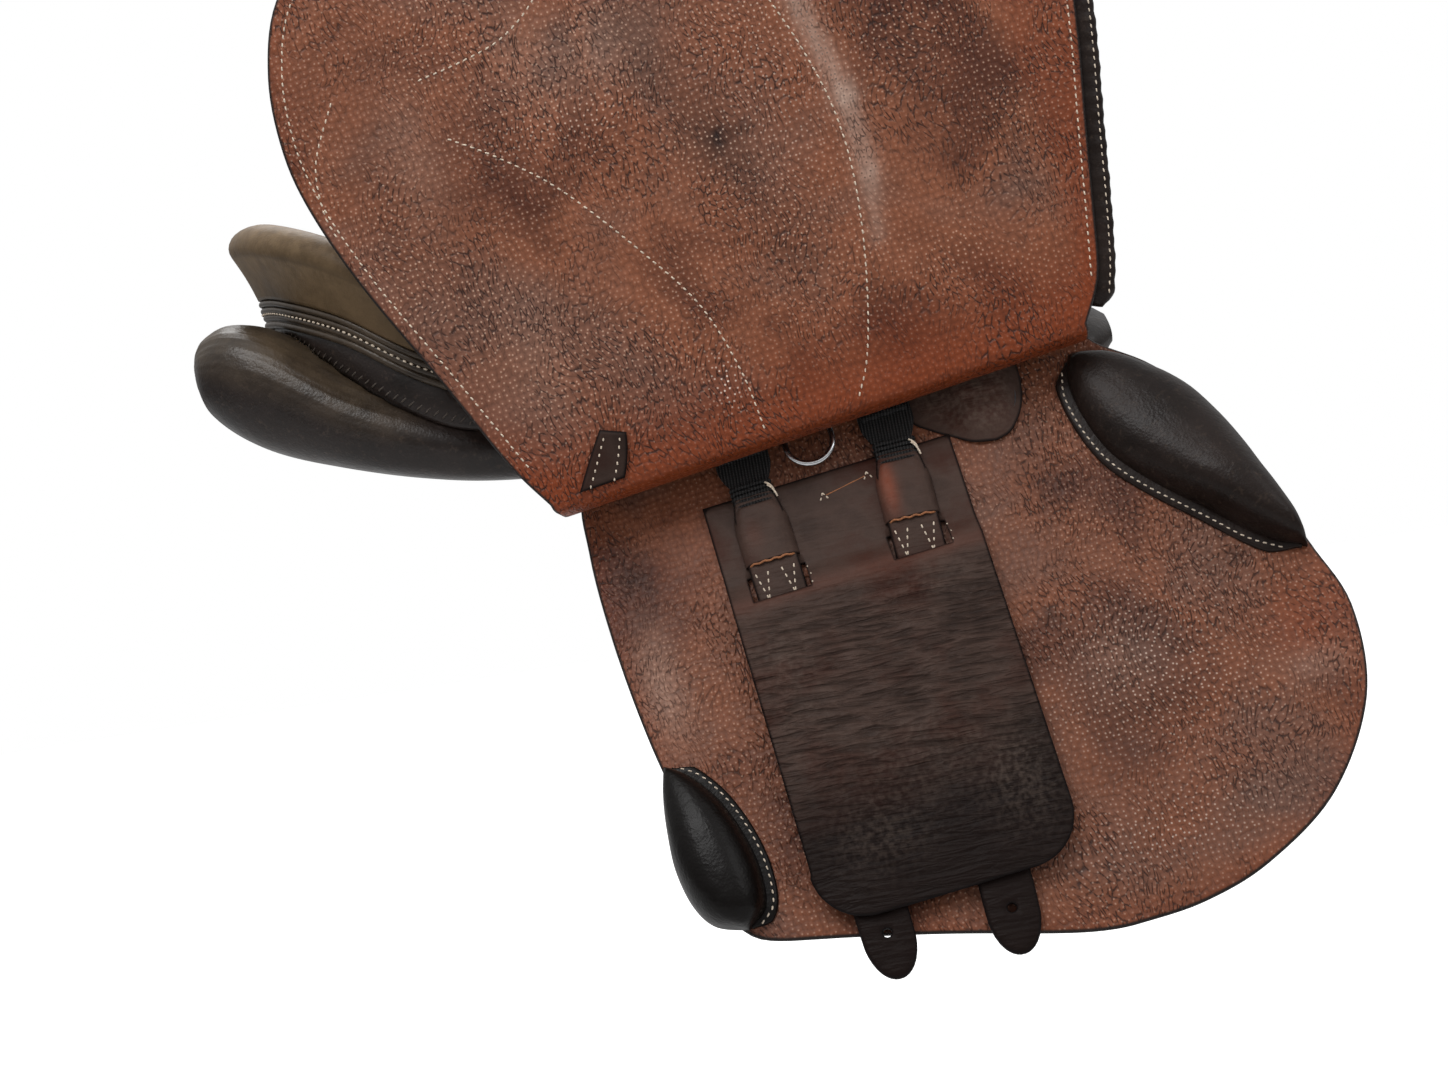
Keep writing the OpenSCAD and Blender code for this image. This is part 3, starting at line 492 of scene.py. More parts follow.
def waxed_pigskin(name, wax, warm, grey, deep, bent):
    """Flap leather: pigskin, drum dyed, waxed and rubbed by use.

    Wax in the follicles shows as even pale pricks, short creases run between them,
    and the dye clouds from red brown to grey brown. The grey clouds and the pale crests are partly painted sheen,
    and the creases and the rims of the grain's pebbles are painted darker as shade.
    """
    mat, tree, _ = finish(name)
    cut = add(tree, FIELD, attribute_name="cut")[1]
    # clouds of the dye, 120 mm wide, with shades of 16 mm in them; the grey clouds also stand as painted sheen
    broad = add(tree, NOISE, {"Vector": cut, "Scale": 8.5, "Detail": 3.0, "Distortion": 0.6})[0]
    cloud = add(tree, NOISE, {"Vector": cut, "Scale": 60.0, "Detail": 5.0, "Roughness": 0.6})[0]
    colour = stepped(tree, broad, (0.34, deep), (0.47, warm), (0.64, grey))
    shade = stepped(tree, cloud, (0.3, 0.78), (0.66, 1.0))
    colour = times(tree, colour, shade)
    # redder at bends, nearly black at stains, paler on crests: partly rubbed wax, partly painted highlight
    tone = field(tree, "tone")
    bend = add(tree, RANGE, {"Value": tone})[0]
    colour = mixed(tree, bend, colour, bent)
    stain = below_zero(tree, tone)
    colour = mixed(tree, stain, colour, linear("2a1a15"))
    crest = field(tree, "crest")
    colour = mixed(tree, crest, colour, linear("b89c8c"))
    # creases 3 to 6 mm long, dense in fields of 60 mm, painted dark along their grooves as shade
    flow = add(tree, NOISE, {"Vector": cut, "Scale": 20.0, "Detail": 1.0})[1]
    swayed = mixed(tree, 0.035, cut, flow, "ADD")
    drawn = add(tree, PLACE, {"Vector": swayed, "Rotation": (0.0, 0.0, 0.45), "Scale": (1.0, 0.36, 1.0)})[0]
    net = add(tree, CELLS, {"Vector": drawn, "Scale": 400.0, "Randomness": 0.95}, voronoi_dimensions="2D",
              feature="DISTANCE_TO_EDGE")[0]
    dense = add(tree, NOISE, {"Vector": cut, "Scale": 15.0, "Detail": 2.0, "Distortion": 0.5})[0]
    dense = stepped(tree, dense, (0.4, 0.2), (0.56, 0.9))
    part = add(tree, NOISE, {"Vector": cut, "Scale": 210.0, "Detail": 2.0})[0]
    part = stepped(tree, part, (0.42, 0.1), (0.56, 1.0))
    crease_shade = stepped(tree, net, (0.03, 1.0), (0.17, 0.0))
    crease_shade = times(tree, crease_shade, dense)
    crease_shade = times(tree, crease_shade, part)
    colour = mixed(tree, crease_shade, colour, linear("35201a"))
    # follicles 3.6 mm apart, each on its own pebble of grain, painted darker towards its rim as shade
    cells = add(tree, CELLS, {"Vector": cut, "Scale": 275.0, "Randomness": 0.6}, voronoi_dimensions="2D")[0]
    pebble_shade = stepped(tree, cells, (0.25, 1.0), (0.75, 0.72))
    colour = times(tree, colour, pebble_shade)
    prick = stepped(tree, cells, (0.07, 1.0), (0.2, 0.0))
    wear = add(tree, NOISE, {"Vector": cut, "Scale": 12.0, "Detail": 3.0, "Distortion": 0.4})[0]
    wear = stepped(tree, wear, (0.36, 0.2 * wax), (0.6, wax))
    wear = mixed(tree, bend, wear, (0.08, 0.08, 0.08))
    crest_bloom_and_highlight = add(tree, RANGE, {"Value": crest, "From Min": 0.2, "From Max": 0.4})[0]
    wear = mixed(tree, crest_bloom_and_highlight, wear, (0.8, 0.8, 0.8))
    pale = times(tree, prick, wear)
    fill = mixed(tree, crest_bloom_and_highlight, linear("d6b29a"), linear("2c1a14"))
    colour = mixed(tree, pale, colour, fill)
    # white wax in the pricks where the leather is scuffed
    scuff = field(tree, "scuff")
    scuff = times(tree, prick, scuff)
    colour = mixed(tree, scuff, colour, linear("f0e2d4"))
    # black edge paint, 1.6 mm wide
    edge = edge_paint(tree, 0.9, 2.0)
    colour = mixed(tree, edge, colour, linear("1c1614"))
    gloss = stepped(tree, cloud, (0.3, 0.42), (0.75, 0.58))
    bump = add(tree, BUMP, {"Height": cells, "Strength": 0.45, "Distance": 0.001}, invert=True)[0]
    bump = add(tree, BUMP, {"Height": crease_shade, "Normal": bump, "Strength": 0.7, "Distance": 0.0009}, invert=True)[0]
    bump = add(tree, BUMP, {"Height": cloud, "Normal": bump, "Strength": 0.3, "Distance": 0.003})[0]
    return surfaced(mat, {"Base Color": colour, "Roughness": gloss, "Normal": bump, "Specular IOR Level": 0.2})


def bridle_leather(name):
    """Straps and guard: bridle leather, stuffed with grease and glazed.

    Dark and close-grained with a soft shine, wrinkled across where it bends, grey where the glaze is worn.
    """
    mat, tree, spot = finish(name)
    base = colours().strap
    broad = add(tree, NOISE, {"Vector": spot, "Scale": 20.0, "Detail": 6.0, "Roughness": 0.62})[0]
    colour = stepped(tree, broad, (0.3, shaded(base, 0.5)), (0.5, base), (0.7, linear("3c221b")))
    tone = field(tree, "tone")
    warm = add(tree, RANGE, {"Value": tone})[0]
    colour = mixed(tree, warm, colour, linear("7a4230"))
    greased = below_zero(tree, tone)
    colour = mixed(tree, greased, colour, linear("19110f"))
    # worn glaze in flecks of 3 mm
    worn = field(tree, "scuff")
    fleck = add(tree, NOISE, {"Vector": spot, "Scale": 330.0, "Detail": 4.0})[0]
    fleck = stepped(tree, fleck, (0.4, 0.0), (0.66, 1.0))
    worn = times(tree, fleck, worn)
    colour = mixed(tree, worn, colour, linear("7a6a60"))
    edge = edge_paint(tree, 0.6, 1.6, 0.85)
    colour = mixed(tree, edge, colour, linear("141010"))
    gloss = stepped(tree, broad, (0.3, 0.4), (0.7, 0.56))
    # grain of 1.2 mm, and wrinkles 3 mm apart: a noise drawn out along the saddle, as deep as the piece says; the
    # wrinkles' troughs are painted darker as shade
    grain = add(tree, CELLS, {"Vector": spot, "Scale": 800.0})[0]
    long = add(tree, PLACE, {"Vector": spot, "Scale": (0.14, 1.0, 1.0)})[0]
    fold = add(tree, NOISE, {"Vector": long, "Scale": 300.0, "Detail": 2.0, "Distortion": 0.6})[0]
    depth = field(tree, "fold")
    wrinkle_shade = stepped(tree, fold, (0.36, 0.5), (0.6, 1.0))
    colour = mixed(tree, depth, colour, wrinkle_shade, "MULTIPLY")
    bump = add(tree, BUMP, {"Height": grain, "Strength": 0.2, "Distance": 0.0005})[0]
    bump = add(tree, BUMP, {"Height": fold, "Normal": bump, "Strength": depth, "Distance": 0.005})[0]
    return surfaced(mat, {"Base Color": colour, "Roughness": gloss, "Normal": bump, "Specular IOR Level": 0.06})


def smooth_calf(name, shine):
    """Blocks, panels and padded edges: calf, dyed through and plated smooth.

    Nearly black with a fine even grain and a clear soft shine. Paler olive brown where its tone is raised:
    painted highlight on the welts, the leather's colour and painted highlight on the panels' upper rear.
    Near black where its tone is below nought: painted shade on the blocks.
    """
    mat, tree, spot = finish(name)
    base = colours().calf
    cloud = add(tree, NOISE, {"Vector": spot, "Scale": 38.0, "Detail": 6.0, "Roughness": 0.6})[0]
    colour = stepped(tree, cloud, (0.3, shaded(base, 0.55)), (0.7, shaded(base, 1.3)))
    # rubbed high spots of 4 mm
    rub = add(tree, NOISE, {"Vector": spot, "Scale": 240.0, "Detail": 5.0, "Roughness": 0.7})[0]
    rub = stepped(tree, rub, (0.56, 0.0), (0.8, 0.5))
    colour = mixed(tree, rub, colour, linear("54463c"))
    # tone above nought: paler olive, painted highlight on the welts, olive colour and painted highlight on the panels'
    # upper rear
    tone = field(tree, "tone")
    patch = stepped(tree, cloud, (0.35, 0.35), (0.65, 1.0))
    rubbed = add(tree, RANGE, {"Value": tone})[0]
    rubbed = times(tree, patch, rubbed)
    colour = mixed(tree, rubbed, colour, linear("665743"))
    # tone below nought: nearly black, painted shade on the thigh blocks and a little on the knee blocks
    black = below_zero(tree, tone)
    colour = mixed(tree, black, colour, linear("0c0908"))
    gloss = stepped(tree, cloud, (0.3, 0.28), (0.75, 0.42))
    # grain of 1 mm, drawn at 1.6 mm so that it shows, and soft stretch wrinkles of 9 mm
    grain = add(tree, CELLS, {"Vector": spot, "Scale": 620.0})[0]
    fold = add(tree, NOISE, {"Vector": spot, "Scale": 110.0, "Detail": 4.0, "Distortion": 0.8})[0]
    bump = add(tree, BUMP, {"Height": grain, "Strength": 0.2, "Distance": 0.0005})[0]
    bump = add(tree, BUMP, {"Height": fold, "Normal": bump, "Strength": 0.22, "Distance": 0.002})[0]
    return surfaced(mat, {"Base Color": colour, "Roughness": gloss, "Normal": bump, "Specular IOR Level": shine})


def milled_cowhide(name):
    """Seat, cantle and skirts: soft cowhide, milled and waxed, paler olive in patches where its tone is raised: painted
    highlight along the cantle's rim that fades down its wall, and paler rubbed edges on the skirts.
    """
    mat, tree, spot = finish(name)
    base = colours().seat
    broad = add(tree, NOISE, {"Vector": spot, "Scale": 20.0, "Detail": 5.0, "Roughness": 0.6})[0]
    colour = stepped(tree, broad, (0.3, shaded(base, 0.5)), (0.68, base))
    tone = field(tree, "tone")
    rub = add(tree, NOISE, {"Vector": spot, "Scale": 130.0, "Detail": 5.0, "Roughness": 0.65})[0]
    rub = stepped(tree, rub, (0.3, 0.35), (0.7, 1.0))
    # paler olive where the tone is raised: on the seat a painted highlight, strongest on the cantle's rim
    pale = times(tree, rub, tone)
    colour = mixed(tree, pale, colour, linear("987f60"))
    edge = edge_paint(tree, 0.8, 1.8)
    colour = mixed(tree, edge, colour, linear("181412"))
    gloss = stepped(tree, broad, (0.3, 0.36), (0.75, 0.52))
    # milled grain of 1.8 mm cells
    grain = add(tree, CELLS, {"Vector": spot, "Scale": 550.0}, feature="DISTANCE_TO_EDGE")[0]
    bump = add(tree, BUMP, {"Height": grain, "Strength": 0.25, "Distance": 0.0006})[0]
    bump = add(tree, BUMP, {"Height": broad, "Normal": bump, "Strength": 0.3, "Distance": 0.006})[0]
    return surfaced(mat, {"Base Color": colour, "Roughness": gloss, "Normal": bump, "Specular IOR Level": 0.14})


def nylon_webbing(name):
    """Webs and tabs: nylon, woven with ribs of 1.8 mm along its length, dull black; the rib crests are painted bright
    as highlight and the hollows dark as shade.
    """
    mat, tree, spot = finish(name)
    base = colours().web
    ribs = add(tree, WAVES, {"Vector": spot, "Scale": 175.0, "Distortion": 0.5, "Detail": 2.0,
                             "Detail Scale": 2.0}, bands_direction="X")[0]
    weft = add(tree, WAVES, {"Vector": spot, "Scale": 230.0, "Distortion": 0.4}, bands_direction="Z")[0]
    rib_light_and_shade = mixed(tree, 0.5, ribs, weft, "MULTIPLY")
    # rib crests painted bright and hollows dark: painted highlight and shade of the weave
    colour = stepped(tree, rib_light_and_shade, (0.1, shaded(base, 0.4)), (0.9, shaded(base, 3.2)))
    bump = add(tree, BUMP, {"Height": rib_light_and_shade, "Strength": 0.8, "Distance": 0.0009})[0]
    return surfaced(mat, {"Base Color": colour, "Roughness": 0.6, "Normal": bump, "Specular IOR Level": 0.2})


def linen_thread(name, colour):
    """Sewing thread: twisted linen drawn through wax, dull, darker in flecks of 0.8 mm."""
    mat, tree, spot = finish(name)
    twist = add(tree, NOISE, {"Vector": spot, "Scale": 1200.0, "Detail": 2.0})[0]
    colour = stepped(tree, twist, (0.3, shaded(colour, 0.55)), (0.65, colour))
    bump = add(tree, BUMP, {"Height": twist, "Strength": 0.4, "Distance": 0.0004})[0]
    return surfaced(mat, {"Base Color": colour, "Roughness": 0.7, "Normal": bump})


def polished_steel(name):
    """Rings, bars and nails: forged steel, polished and nickel plated, hazy with fine rubbing marks."""
    mat, tree, spot = finish(name)
    haze = add(tree, NOISE, {"Vector": spot, "Scale": 260.0, "Detail": 6.0, "Roughness": 0.7})[0]
    colour = stepped(tree, haze, (0.3, shaded(colours().steel, 0.72)), (0.6, colours().steel))
    gloss = stepped(tree, haze, (0.3, 0.32), (0.6, 0.16))
    bump = add(tree, BUMP, {"Height": haze, "Strength": 0.06, "Distance": 0.0006})[0]
    return surfaced(mat, {"Base Color": colour, "Metallic": 1.0, "Roughness": gloss, "Normal": bump})


def black_steel(name):
    """Head arch and points: forged steel, black from the fire, with a scaly dull skin."""
    mat, tree, spot = finish(name)
    scale = add(tree, NOISE, {"Vector": spot, "Scale": 190.0, "Detail": 6.0, "Roughness": 0.7})[0]
    colour = stepped(tree, scale, (0.3, linear("2c2c2e")), (0.7, linear("5c5d60")))
    bump = add(tree, BUMP, {"Height": scale, "Strength": 0.3, "Distance": 0.001})[0]
    return surfaced(mat, {"Base Color": colour, "Metallic": 1.0, "Roughness": 0.55, "Normal": bump})


def laminated_beech(name):
    """Seat plate and rails: beech veneers, glued in a mould and lacquered; fine pores run along the saddle."""
    mat, tree, spot = finish(name)
    base = colours().beech
    long = add(tree, PLACE, {"Vector": spot, "Scale": (0.12, 1.0, 1.0)})[0]
    grain = add(tree, NOISE, {"Vector": long, "Scale": 240.0, "Detail": 5.0, "Roughness": 0.65})[0]
    colour = stepped(tree, grain, (0.3, shaded(base, 0.6)), (0.65, base))
    # glue lines between veneers of 1.5 mm
    ply = add(tree, WAVES, {"Vector": spot, "Scale": 209.0, "Distortion": 0.3}, bands_direction="Z")[0]
    glue = stepped(tree, ply, (0.02, (0.55, 0.5, 0.45)), (0.12, 1.0))
    colour = mixed(tree, 0.5, colour, glue, "MULTIPLY")
    bump = add(tree, BUMP, {"Height": grain, "Strength": 0.15, "Distance": 0.0005})[0]
    return surfaced(mat, {"Base Color": colour, "Roughness": 0.4, "Normal": bump})


def material(name, maker, *args):
    """Finish of that name, made the first time it is asked for."""
    return bpy.data.materials.get(name) or maker(name, *args)


def flap_leather():
    c = colours()
    return material("waxed_pigskin", waxed_pigskin, 0.55, c.flap, c.flap_grey_sheen, c.flap_deep, c.flap_red)


def sweat_leather():
    c = colours()
    shades = (shaded(part, share) for part, share in (
        (c.flap, 0.82), (c.flap_grey_sheen, 0.82), (c.flap_deep, 0.85), (c.flap_red, 1.1)))
    return material("worn_pigskin", waxed_pigskin, 0.32, *shades)


def strap_leather():
    return material("bridle_leather", bridle_leather)


def calf():
    return material("smooth_calf", smooth_calf, 0.13)


def glazed_calf():
    return material("glazed_calf", smooth_calf, 0.3)


def cowhide():
    return material("milled_cowhide", milled_cowhide)


def webbing():
    return material("nylon_webbing", nylon_webbing)


def steel():
    return material("polished_steel", polished_steel)


def thread():
    return material("linen_thread", linen_thread, colours().thread)


def brown_thread():
    return material("brown_thread", linen_thread, linear("9a6038"))


def dark_thread():
    return material("dark_thread", linen_thread, linear("4a4038"))


def both_sides():
    return (("right", False), ("left", True))


# Flaps: a flat cut leather, laid over the rolled core of its fold

HEAD = 47.0
BEND = 11.25
WRAP = BEND * math.radians(180 - RAISED)
LEAF = within(FOLD, spun("x", RAISED), (0, 0, 0))
FLAP_LEFT = [(-171, 0.8), (-186, 30), (-207, 87), (-232, 152), (-246, 203), (-249, 240), (-243, 280), (-225, 318),
             (-188, 348), (-120, 366)]
FLAP_RIGHT = [(148, 0.8), (163, 24), (173, 62), (184, 108), (195, 152), (204, 195), (213, 240), (212, 282), (192, 322),
              (142, 353), (70, 370)]
FLAP_SWELLS = [(-60, 60, 50, 40, 1.0), (60, 120, 40, 70, 1.3), (100, 240, 60, 60, -1.0), (-140, 170, 50, 60, 1.2),
               (20, 260, 70, 50, 1.4), (-200, 240, 30, 60, -1.2), (-80, 310, 60, 30, 1.2)]
FLAP_CREASES = [((30, 30), (56, 140), 6, 1.3), ((56, 140), (42, 225), 7, 1.0), ((-150, 8), (-60, 14), 5, -0.8),
                ((-40, 12), (60, 18), 4, -0.9), ((70, 10), (140, 22), 5, -0.7), ((-110, 24), (-30, 30), 5, 0.6),
                ((0, 30), (90, 36), 6, 0.5), ((-150, 205), (-80, 120), 5, 0.6), ((-160, 246), (-95, 262), 4, 0.6)]


def flap_spot(x, t, off=0.0):
    """Point and outward direction of the flap: x along the fold, t away from it along the leather."""
    x, t = np.asarray(x, float), np.asarray(t, float)
    a = math.radians(RAISED)
    leaf = np.stack([t * math.cos(a) - BEND * math.sin(a), t * math.sin(a) + BEND * math.cos(a)], -1)
    leaf_n = np.array([-math.sin(a), math.cos(a)])
    turn = math.radians(90 + RAISED) - np.clip(t, -WRAP, 0) / BEND
    bend_n = np.stack([np.cos(turn), np.sin(turn)], -1)
    # the roll is pressed flatter than round on its underside
    press = 1 - 0.58 * np.sin(np.clip((turn - math.radians(90 + RAISED)) / math.radians(90), 0, 1) * np.pi / 2)
    bend = bend_n * np.stack([press, np.ones_like(press)], -1) * BEND
    head = np.stack([-(t + WRAP), np.full_like(t, -BEND)], -1)
    yz = np.where((t >= 0)[:, None], leaf, np.where((t >= -WRAP)[:, None], bend, head))
    n = np.where((t >= 0)[:, None], leaf_n, np.where((t >= -WRAP)[:, None], bend_n, [0.0, -1.0]))
    flat = np.stack([x, t], 1)
    rise = (swells(flat, FLAP_SWELLS) + creases(flat, FLAP_CREASES)) * np.clip(t / 12, 0, 1)
    yz = yz + n * (rise + off)[:, None]
    return np.column_stack([x, yz]), np.column_stack([np.zeros(len(x)), n])


def flap_pattern():
    """Flat cut of a flap: rows of points and its outline, measured from the fold."""
    top = -WRAP - HEAD
    lead_t = np.concatenate([top + np.array([6, 16, 30, 42]), np.linspace(-WRAP, 0, 12)[:-1]])
    side_l = evenly(FLAP_LEFT, 74)
    side_r = evenly(FLAP_RIGHT, 74)
    left = np.concatenate([np.column_stack([np.interp(lead_t, [top, top + 21, -WRAP, 0], [-80, -165, -165, -171]),
                                            lead_t]), side_l])
    right = np.concatenate([np.column_stack([np.interp(lead_t, [top, -WRAP, 0], [150, 150, 148]), lead_t]), side_r])
    cols = finer_edges(76, 0.0035)
    grid = between(left, right, cols)
    share = np.clip((np.arange(len(left)) - len(lead_t)) / (len(left) - len(lead_t) - 1), 0, 1) ** 6
    grid[..., 1] += share[:, None] * 6 * np.sin(np.pi * cols)[None, :]
    outline = np.concatenate([left, grid[-1, 1:-1], right[::-1], grid[0, ::-1][1:-1]])
    return grid, outline


class SADDLE_OT_flaps(bpy.types.Operator):
    """Flaps: pigskin leathers that wrap the rolled fold"""
    bl_idname = "saddle.flaps"
    bl_label = "Flaps"

    def execute(self, context):
        for side, near in both_sides():
            grid, outline = flap_pattern()
            rows, cols = grid.shape[:2]
            flat = grid.reshape(-1, 2)
            spots, normals = flap_spot(flat[:, 0], flat[:, 1])
            edge = edge_distance(flat, outline)
            mesh = thicken(spots, grid_faces(rows, cols), normals, rounded(FLAP_THICK, edge, 2.6))
            t = flat[:, 1]
            tone = np.exp(-((t + 6) / 42) ** 2) + 0.45 * np.clip((flat[:, 0] - 150) / 14, 0, 1)
            tone -= creases(flat, [((-45, 240), (-18, 165), 17, 0.3), ((-18, 165), (6, 90), 15, 0.3)])
            tone -= swells(flat, [(-15, 165, 5, 4, 0.7), (0, 168, 4, 3, 0.6), (144, 123, 14, 40, 0.2),
                                  (96, 180, 20, 30, 0.2), (-195, 190, 45, 80, 0.22)])
            tone += 0.25 * np.exp(-(edge / 14) ** 2)
            # pale crests beside the front stitch row and in patches on the left: partly rubbed wax, partly painted
            # highlight
            crest = creases(flat, [((50, 230), (60, 165), 6, 0.55), ((60, 165), (59, 120), 6, 0.5),
                                   ((59, 120), (52, 85), 5, 0.3)])
            crest += swells(flat, [(-85, 236, 40, 26, 0.2), (-180, 210, 16, 40, 0.12), (-150, 80, 18, 40, 0.1)])
            scuff = swells(flat, [(-55, 33, 6, 13, 0.9), (-100, 200, 60, 10, 0.2), (20, 190, 40, 60, 0.2)])
            obj = piece("flap_leather_" + side, mesh, flap_leather(), None, FOLD, near,
                        {"cut": np.column_stack([flat, t * 0]) * MM, "edge": edge, "tone": tone, "crest": crest,
                         "scuff": scuff}, ("flap_" + side, "flap_head_" + side))
            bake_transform(obj)
            self.sew(side, near)
        return {"FINISHED"}

    def sew(self, side, near):
        rows = [
            [(-215, 253), (-230, 231), (-236, 216), (-238, 196), (-236, 183)],
            [(-163, 250), (-138, 252), (-113, 257), (-91, 270), (-70, 292)],
            [(-158, 213), (-135, 194), (-108, 166), (-77, 120), (-55, 80), (-45, 38), (-43, 4)],
            [(37, 229), (45, 200), (51, 165), (51, 130), (45, 91), (35, 52), (24, 21), (14, 4)],
            [(-176, 26), (-199, 87), (-224, 152), (-238, 203), (-241, 240), (-235, 278), (-218, 313), (-184, 340),
             (-119, 358), (-20, 366), (70, 362), (138, 346), (184, 317)],
            [(159, 26), (168, 62), (179, 108), (190, 152), (199, 195), (207, 240), (206, 280)],
        ]
        parts = []
        for points in rows:
            path = row(points)
            for face in (1, -1):
                spots, normals = flap_spot(path[:, 0], path[:, 1], face * (FLAP_THICK / 2 + 0.05))
                parts.append(stitches(spots, normals * face))
        piece("flap_stitching_" + side, joined(*parts), thread(), "flap_" + side, FOLD, near)


class SADDLE_OT_flap_trim(bpy.types.Operator):
    """Padded front edges and strap keepers of the flaps"""
    bl_idname = "saddle.flap_trim"
    bl_label = "Flap trim"

    def execute(self, context):
        steps = 120
        for side, near in both_sides():
            path = evenly([(158, 8), (166, 26), (176, 62), (187, 108), (198, 152), (207, 195), (215, 235), (216, 268)],
                          steps)
            s = np.linspace(0, 1, steps)
            fade = np.clip(np.minimum(s / 0.03, (1 - s) / 0.05), 0.15, 1) ** 0.5
            ripple = 1 + 0.03 * np.sin(s * 190) + 0.02 * np.sin(s * 77)
            radii = np.column_stack([9.0 * fade * ripple, 5.9 * fade * ripple])
            roll = tube(np.column_stack([path, np.full(steps, 3.0)]), radii, 20)
            obj = piece("edge_roll_leather_" + side, roll, calf(), "flap_" + side, LEAF, near, None,
                        ("edge_roll_" + side,))
            rows = []
            normal = np.gradient(path, axis=0)
            normal = np.column_stack([normal[:, 1], -normal[:, 0]]) / np.linalg.norm(normal, axis=1)[:, None]
            for sign in (1, -1):
                spots, normals = dropped(row(path[4:-6:6] + normal[4:-6:6] * 5.2), roll, sign=sign)
                rows.append(stitches(spots, normals))
            piece("edge_roll_stitching_" + side, joined(*rows), thread(), "flap_" + side, LEAF, near)

            left = evenly([(-153, 2), (-146, 12), (-138, 23), (-131, 32)], 26)
            right = evenly([(-126, 2), (-122, 10), (-119, 18), (-117, 26)], 26)
            grid = between(left, right, finer_edges(9, 0.05))
            flat = grid.reshape(-1, 2)
            outline = np.concatenate([left, right[::-1]])
            edge = edge_distance(flat, outline)
            high = 15.05 + 0.5 * np.exp(-((edge - 2.2) / 1.5) ** 2) + swells(flat, FLAP_SWELLS)
            spots = np.column_stack([flat, high])
            mesh = thicken(spots, grid_faces(*grid.shape[:2]), straight_up(spots), rounded(KEEPER_THICK, edge, 1.6))
            piece("keeper_leather_" + side, mesh, strap_leather(), "flap_" + side, LEAF, near,
                  {"edge": edge, "tone": edge * 0 - 0.5}, ("keeper_" + side,))
            rows = []
            for share in (0.24, 0.76):
                line = left * (1 - share) + right * share
                spots, normals = dropped(row(line[1:-1:5], 3.6), mesh)
                rows.append(stitches(spots, normals, 2.4))
            piece("keeper_stitching_" + side, joined(*rows), thread(), "flap_" + side, LEAF, near)
        return {"FINISHED"}


SWEAT_LEFT = [(-60, 11.6), (-110, 8), (-152, 1), (-160, -40), (-160, -100), (-155, -160), (-146, -215), (-140, -258),
              (-127, -281), (-90, -292)]
SWEAT_RIGHT = [(148, 11.6), (156, -4), (182, -28), (206, -65), (218, -120), (228, -160), (236, -200), (225, -250),
               (190, -295), (144, -321), (104, -331), (68, -332)]


class SADDLE_OT_sweat_flaps(bpy.types.Operator):
    """Sweat flaps: worn pigskin leathers that lie on the horse"""
    bl_idname = "saddle.sweat_flaps"
    bl_label = "Sweat flaps"

    def execute(self, context):
        for side, near in both_sides():
            left, right = evenly(SWEAT_LEFT, 80), evenly(SWEAT_RIGHT, 80)
            cols = finer_edges(80, 0.0035)
            grid = between(left, right, cols)
            # lower edge, rounded out towards the front
            grid[..., 1] -= np.linspace(0, 1, 80)[:, None] ** 6 * 40 * (cols ** 4 * (1 - cols))[None, :]
            outline = np.concatenate([left, grid[-1, 1:-1], right[::-1], grid[0, ::-1][1:-1]])
            flat = grid.reshape(-1, 2)
            edge = edge_distance(flat, outline)
            low = creases(flat, [((214, -196), (228, -214), 4, 1.4), ((208, -204), (224, -222), 3, -1.2),
                                 ((205, -190), (216, -208), 4, -0.9), ((70, -170), (130, -185), 6, -0.7),
                                 ((90, -230), (170, -240), 9, -0.8), ((-130, -120), (-100, -180), 7, -0.8)]
                          + [((221 - 9 * math.cos(a), -205 + 9 * math.sin(a)),
                              (221 - 34 * math.cos(a), -205 + 34 * math.sin(a)), 2.6, -1.5)
                             for a in np.radians([-64, -36, -8, 18, 44, 70])])
            low += swells(flat, [(120, -250, 60, 50, -1.2), (80, -120, 40, 50, -0.9), (-125, -80, 24, 50, -0.8),
                                 (170, -230, 30, 40, -0.8)])
            rim = np.clip(edge / 8, 0, 1)
            spots = np.column_stack([flat, np.minimum(low, 0.25) * rim - SWEAT_THICK / 2])
            mesh = thicken(spots, grid_faces(*grid.shape[:2], flip=True), straight_up(spots),
                           rounded(SWEAT_THICK, edge, 2.4))
            tone = 0.2 * np.exp(-(edge / 10) ** 2) - swells(flat, [
                (78, -155, 4, 4, 0.9), (187, -153, 4, 3, 0.9), (-141, -62, 8, 7, 0.6), (-132, -70, 4, 8, 0.4),
                (99, -77, 14, 40, 0.25), (95, -224, 18, 34, 0.3), (-48, -284, 40, 8, 0.4), (211, -201, 24, 24, -0.5)])
            # pale crests: partly rubbed wax, partly painted sheen
            crest = swells(flat, [(-140, -130, 12, 34, 0.3), (110, -190, 26, 22, 0.14), (206, -225, 18, 10, 0.2)])
            scuff = swells(flat, [(159, -102, 4, 4, 1.0), (120, -200, 60, 50, 0.3), (100, -290, 50, 20, 0.35)])
            obj = piece("sweat_leather_" + side, mesh, sweat_leather(), "saddle", SIDE, near,
                        {"cut": np.column_stack([flat, edge * 0]) * MM, "edge": edge, "tone": tone, "crest": crest,
                         "scuff": scuff}, ("sweat_flap_" + side,))
        return {"FINISHED"}


KNEE_FRONT = [(138, -8), (161, -14), (180, -29), (197, -49), (210, -79), (218, -110), (225, -141), (225, -161)]
KNEE_BACK = [(138, -8), (132, -24), (133, -48), (141, -75), (157, -98), (178, -121), (204, -149), (225, -161)]
KNEE_LIFT = [0.24, 0.42, 0.56, 0.7, 0.85, 1, 0.86, 0.4]
THIGH_FRONT = [(-151, -175), (-138, -185), (-126, -203), (-118, -226), (-115, -248), (-118, -267), (-130, -276)]
THIGH_BACK = [(-151, -175), (-156, -192), (-159, -212), (-160, -234), (-156, -255), (-147, -269), (-130, -276)]
THIGH_LIFT = [0.3, 0.6, 0.84, 0.98, 1, 0.85, 0.4]
BLOCK_BASE = 0.35


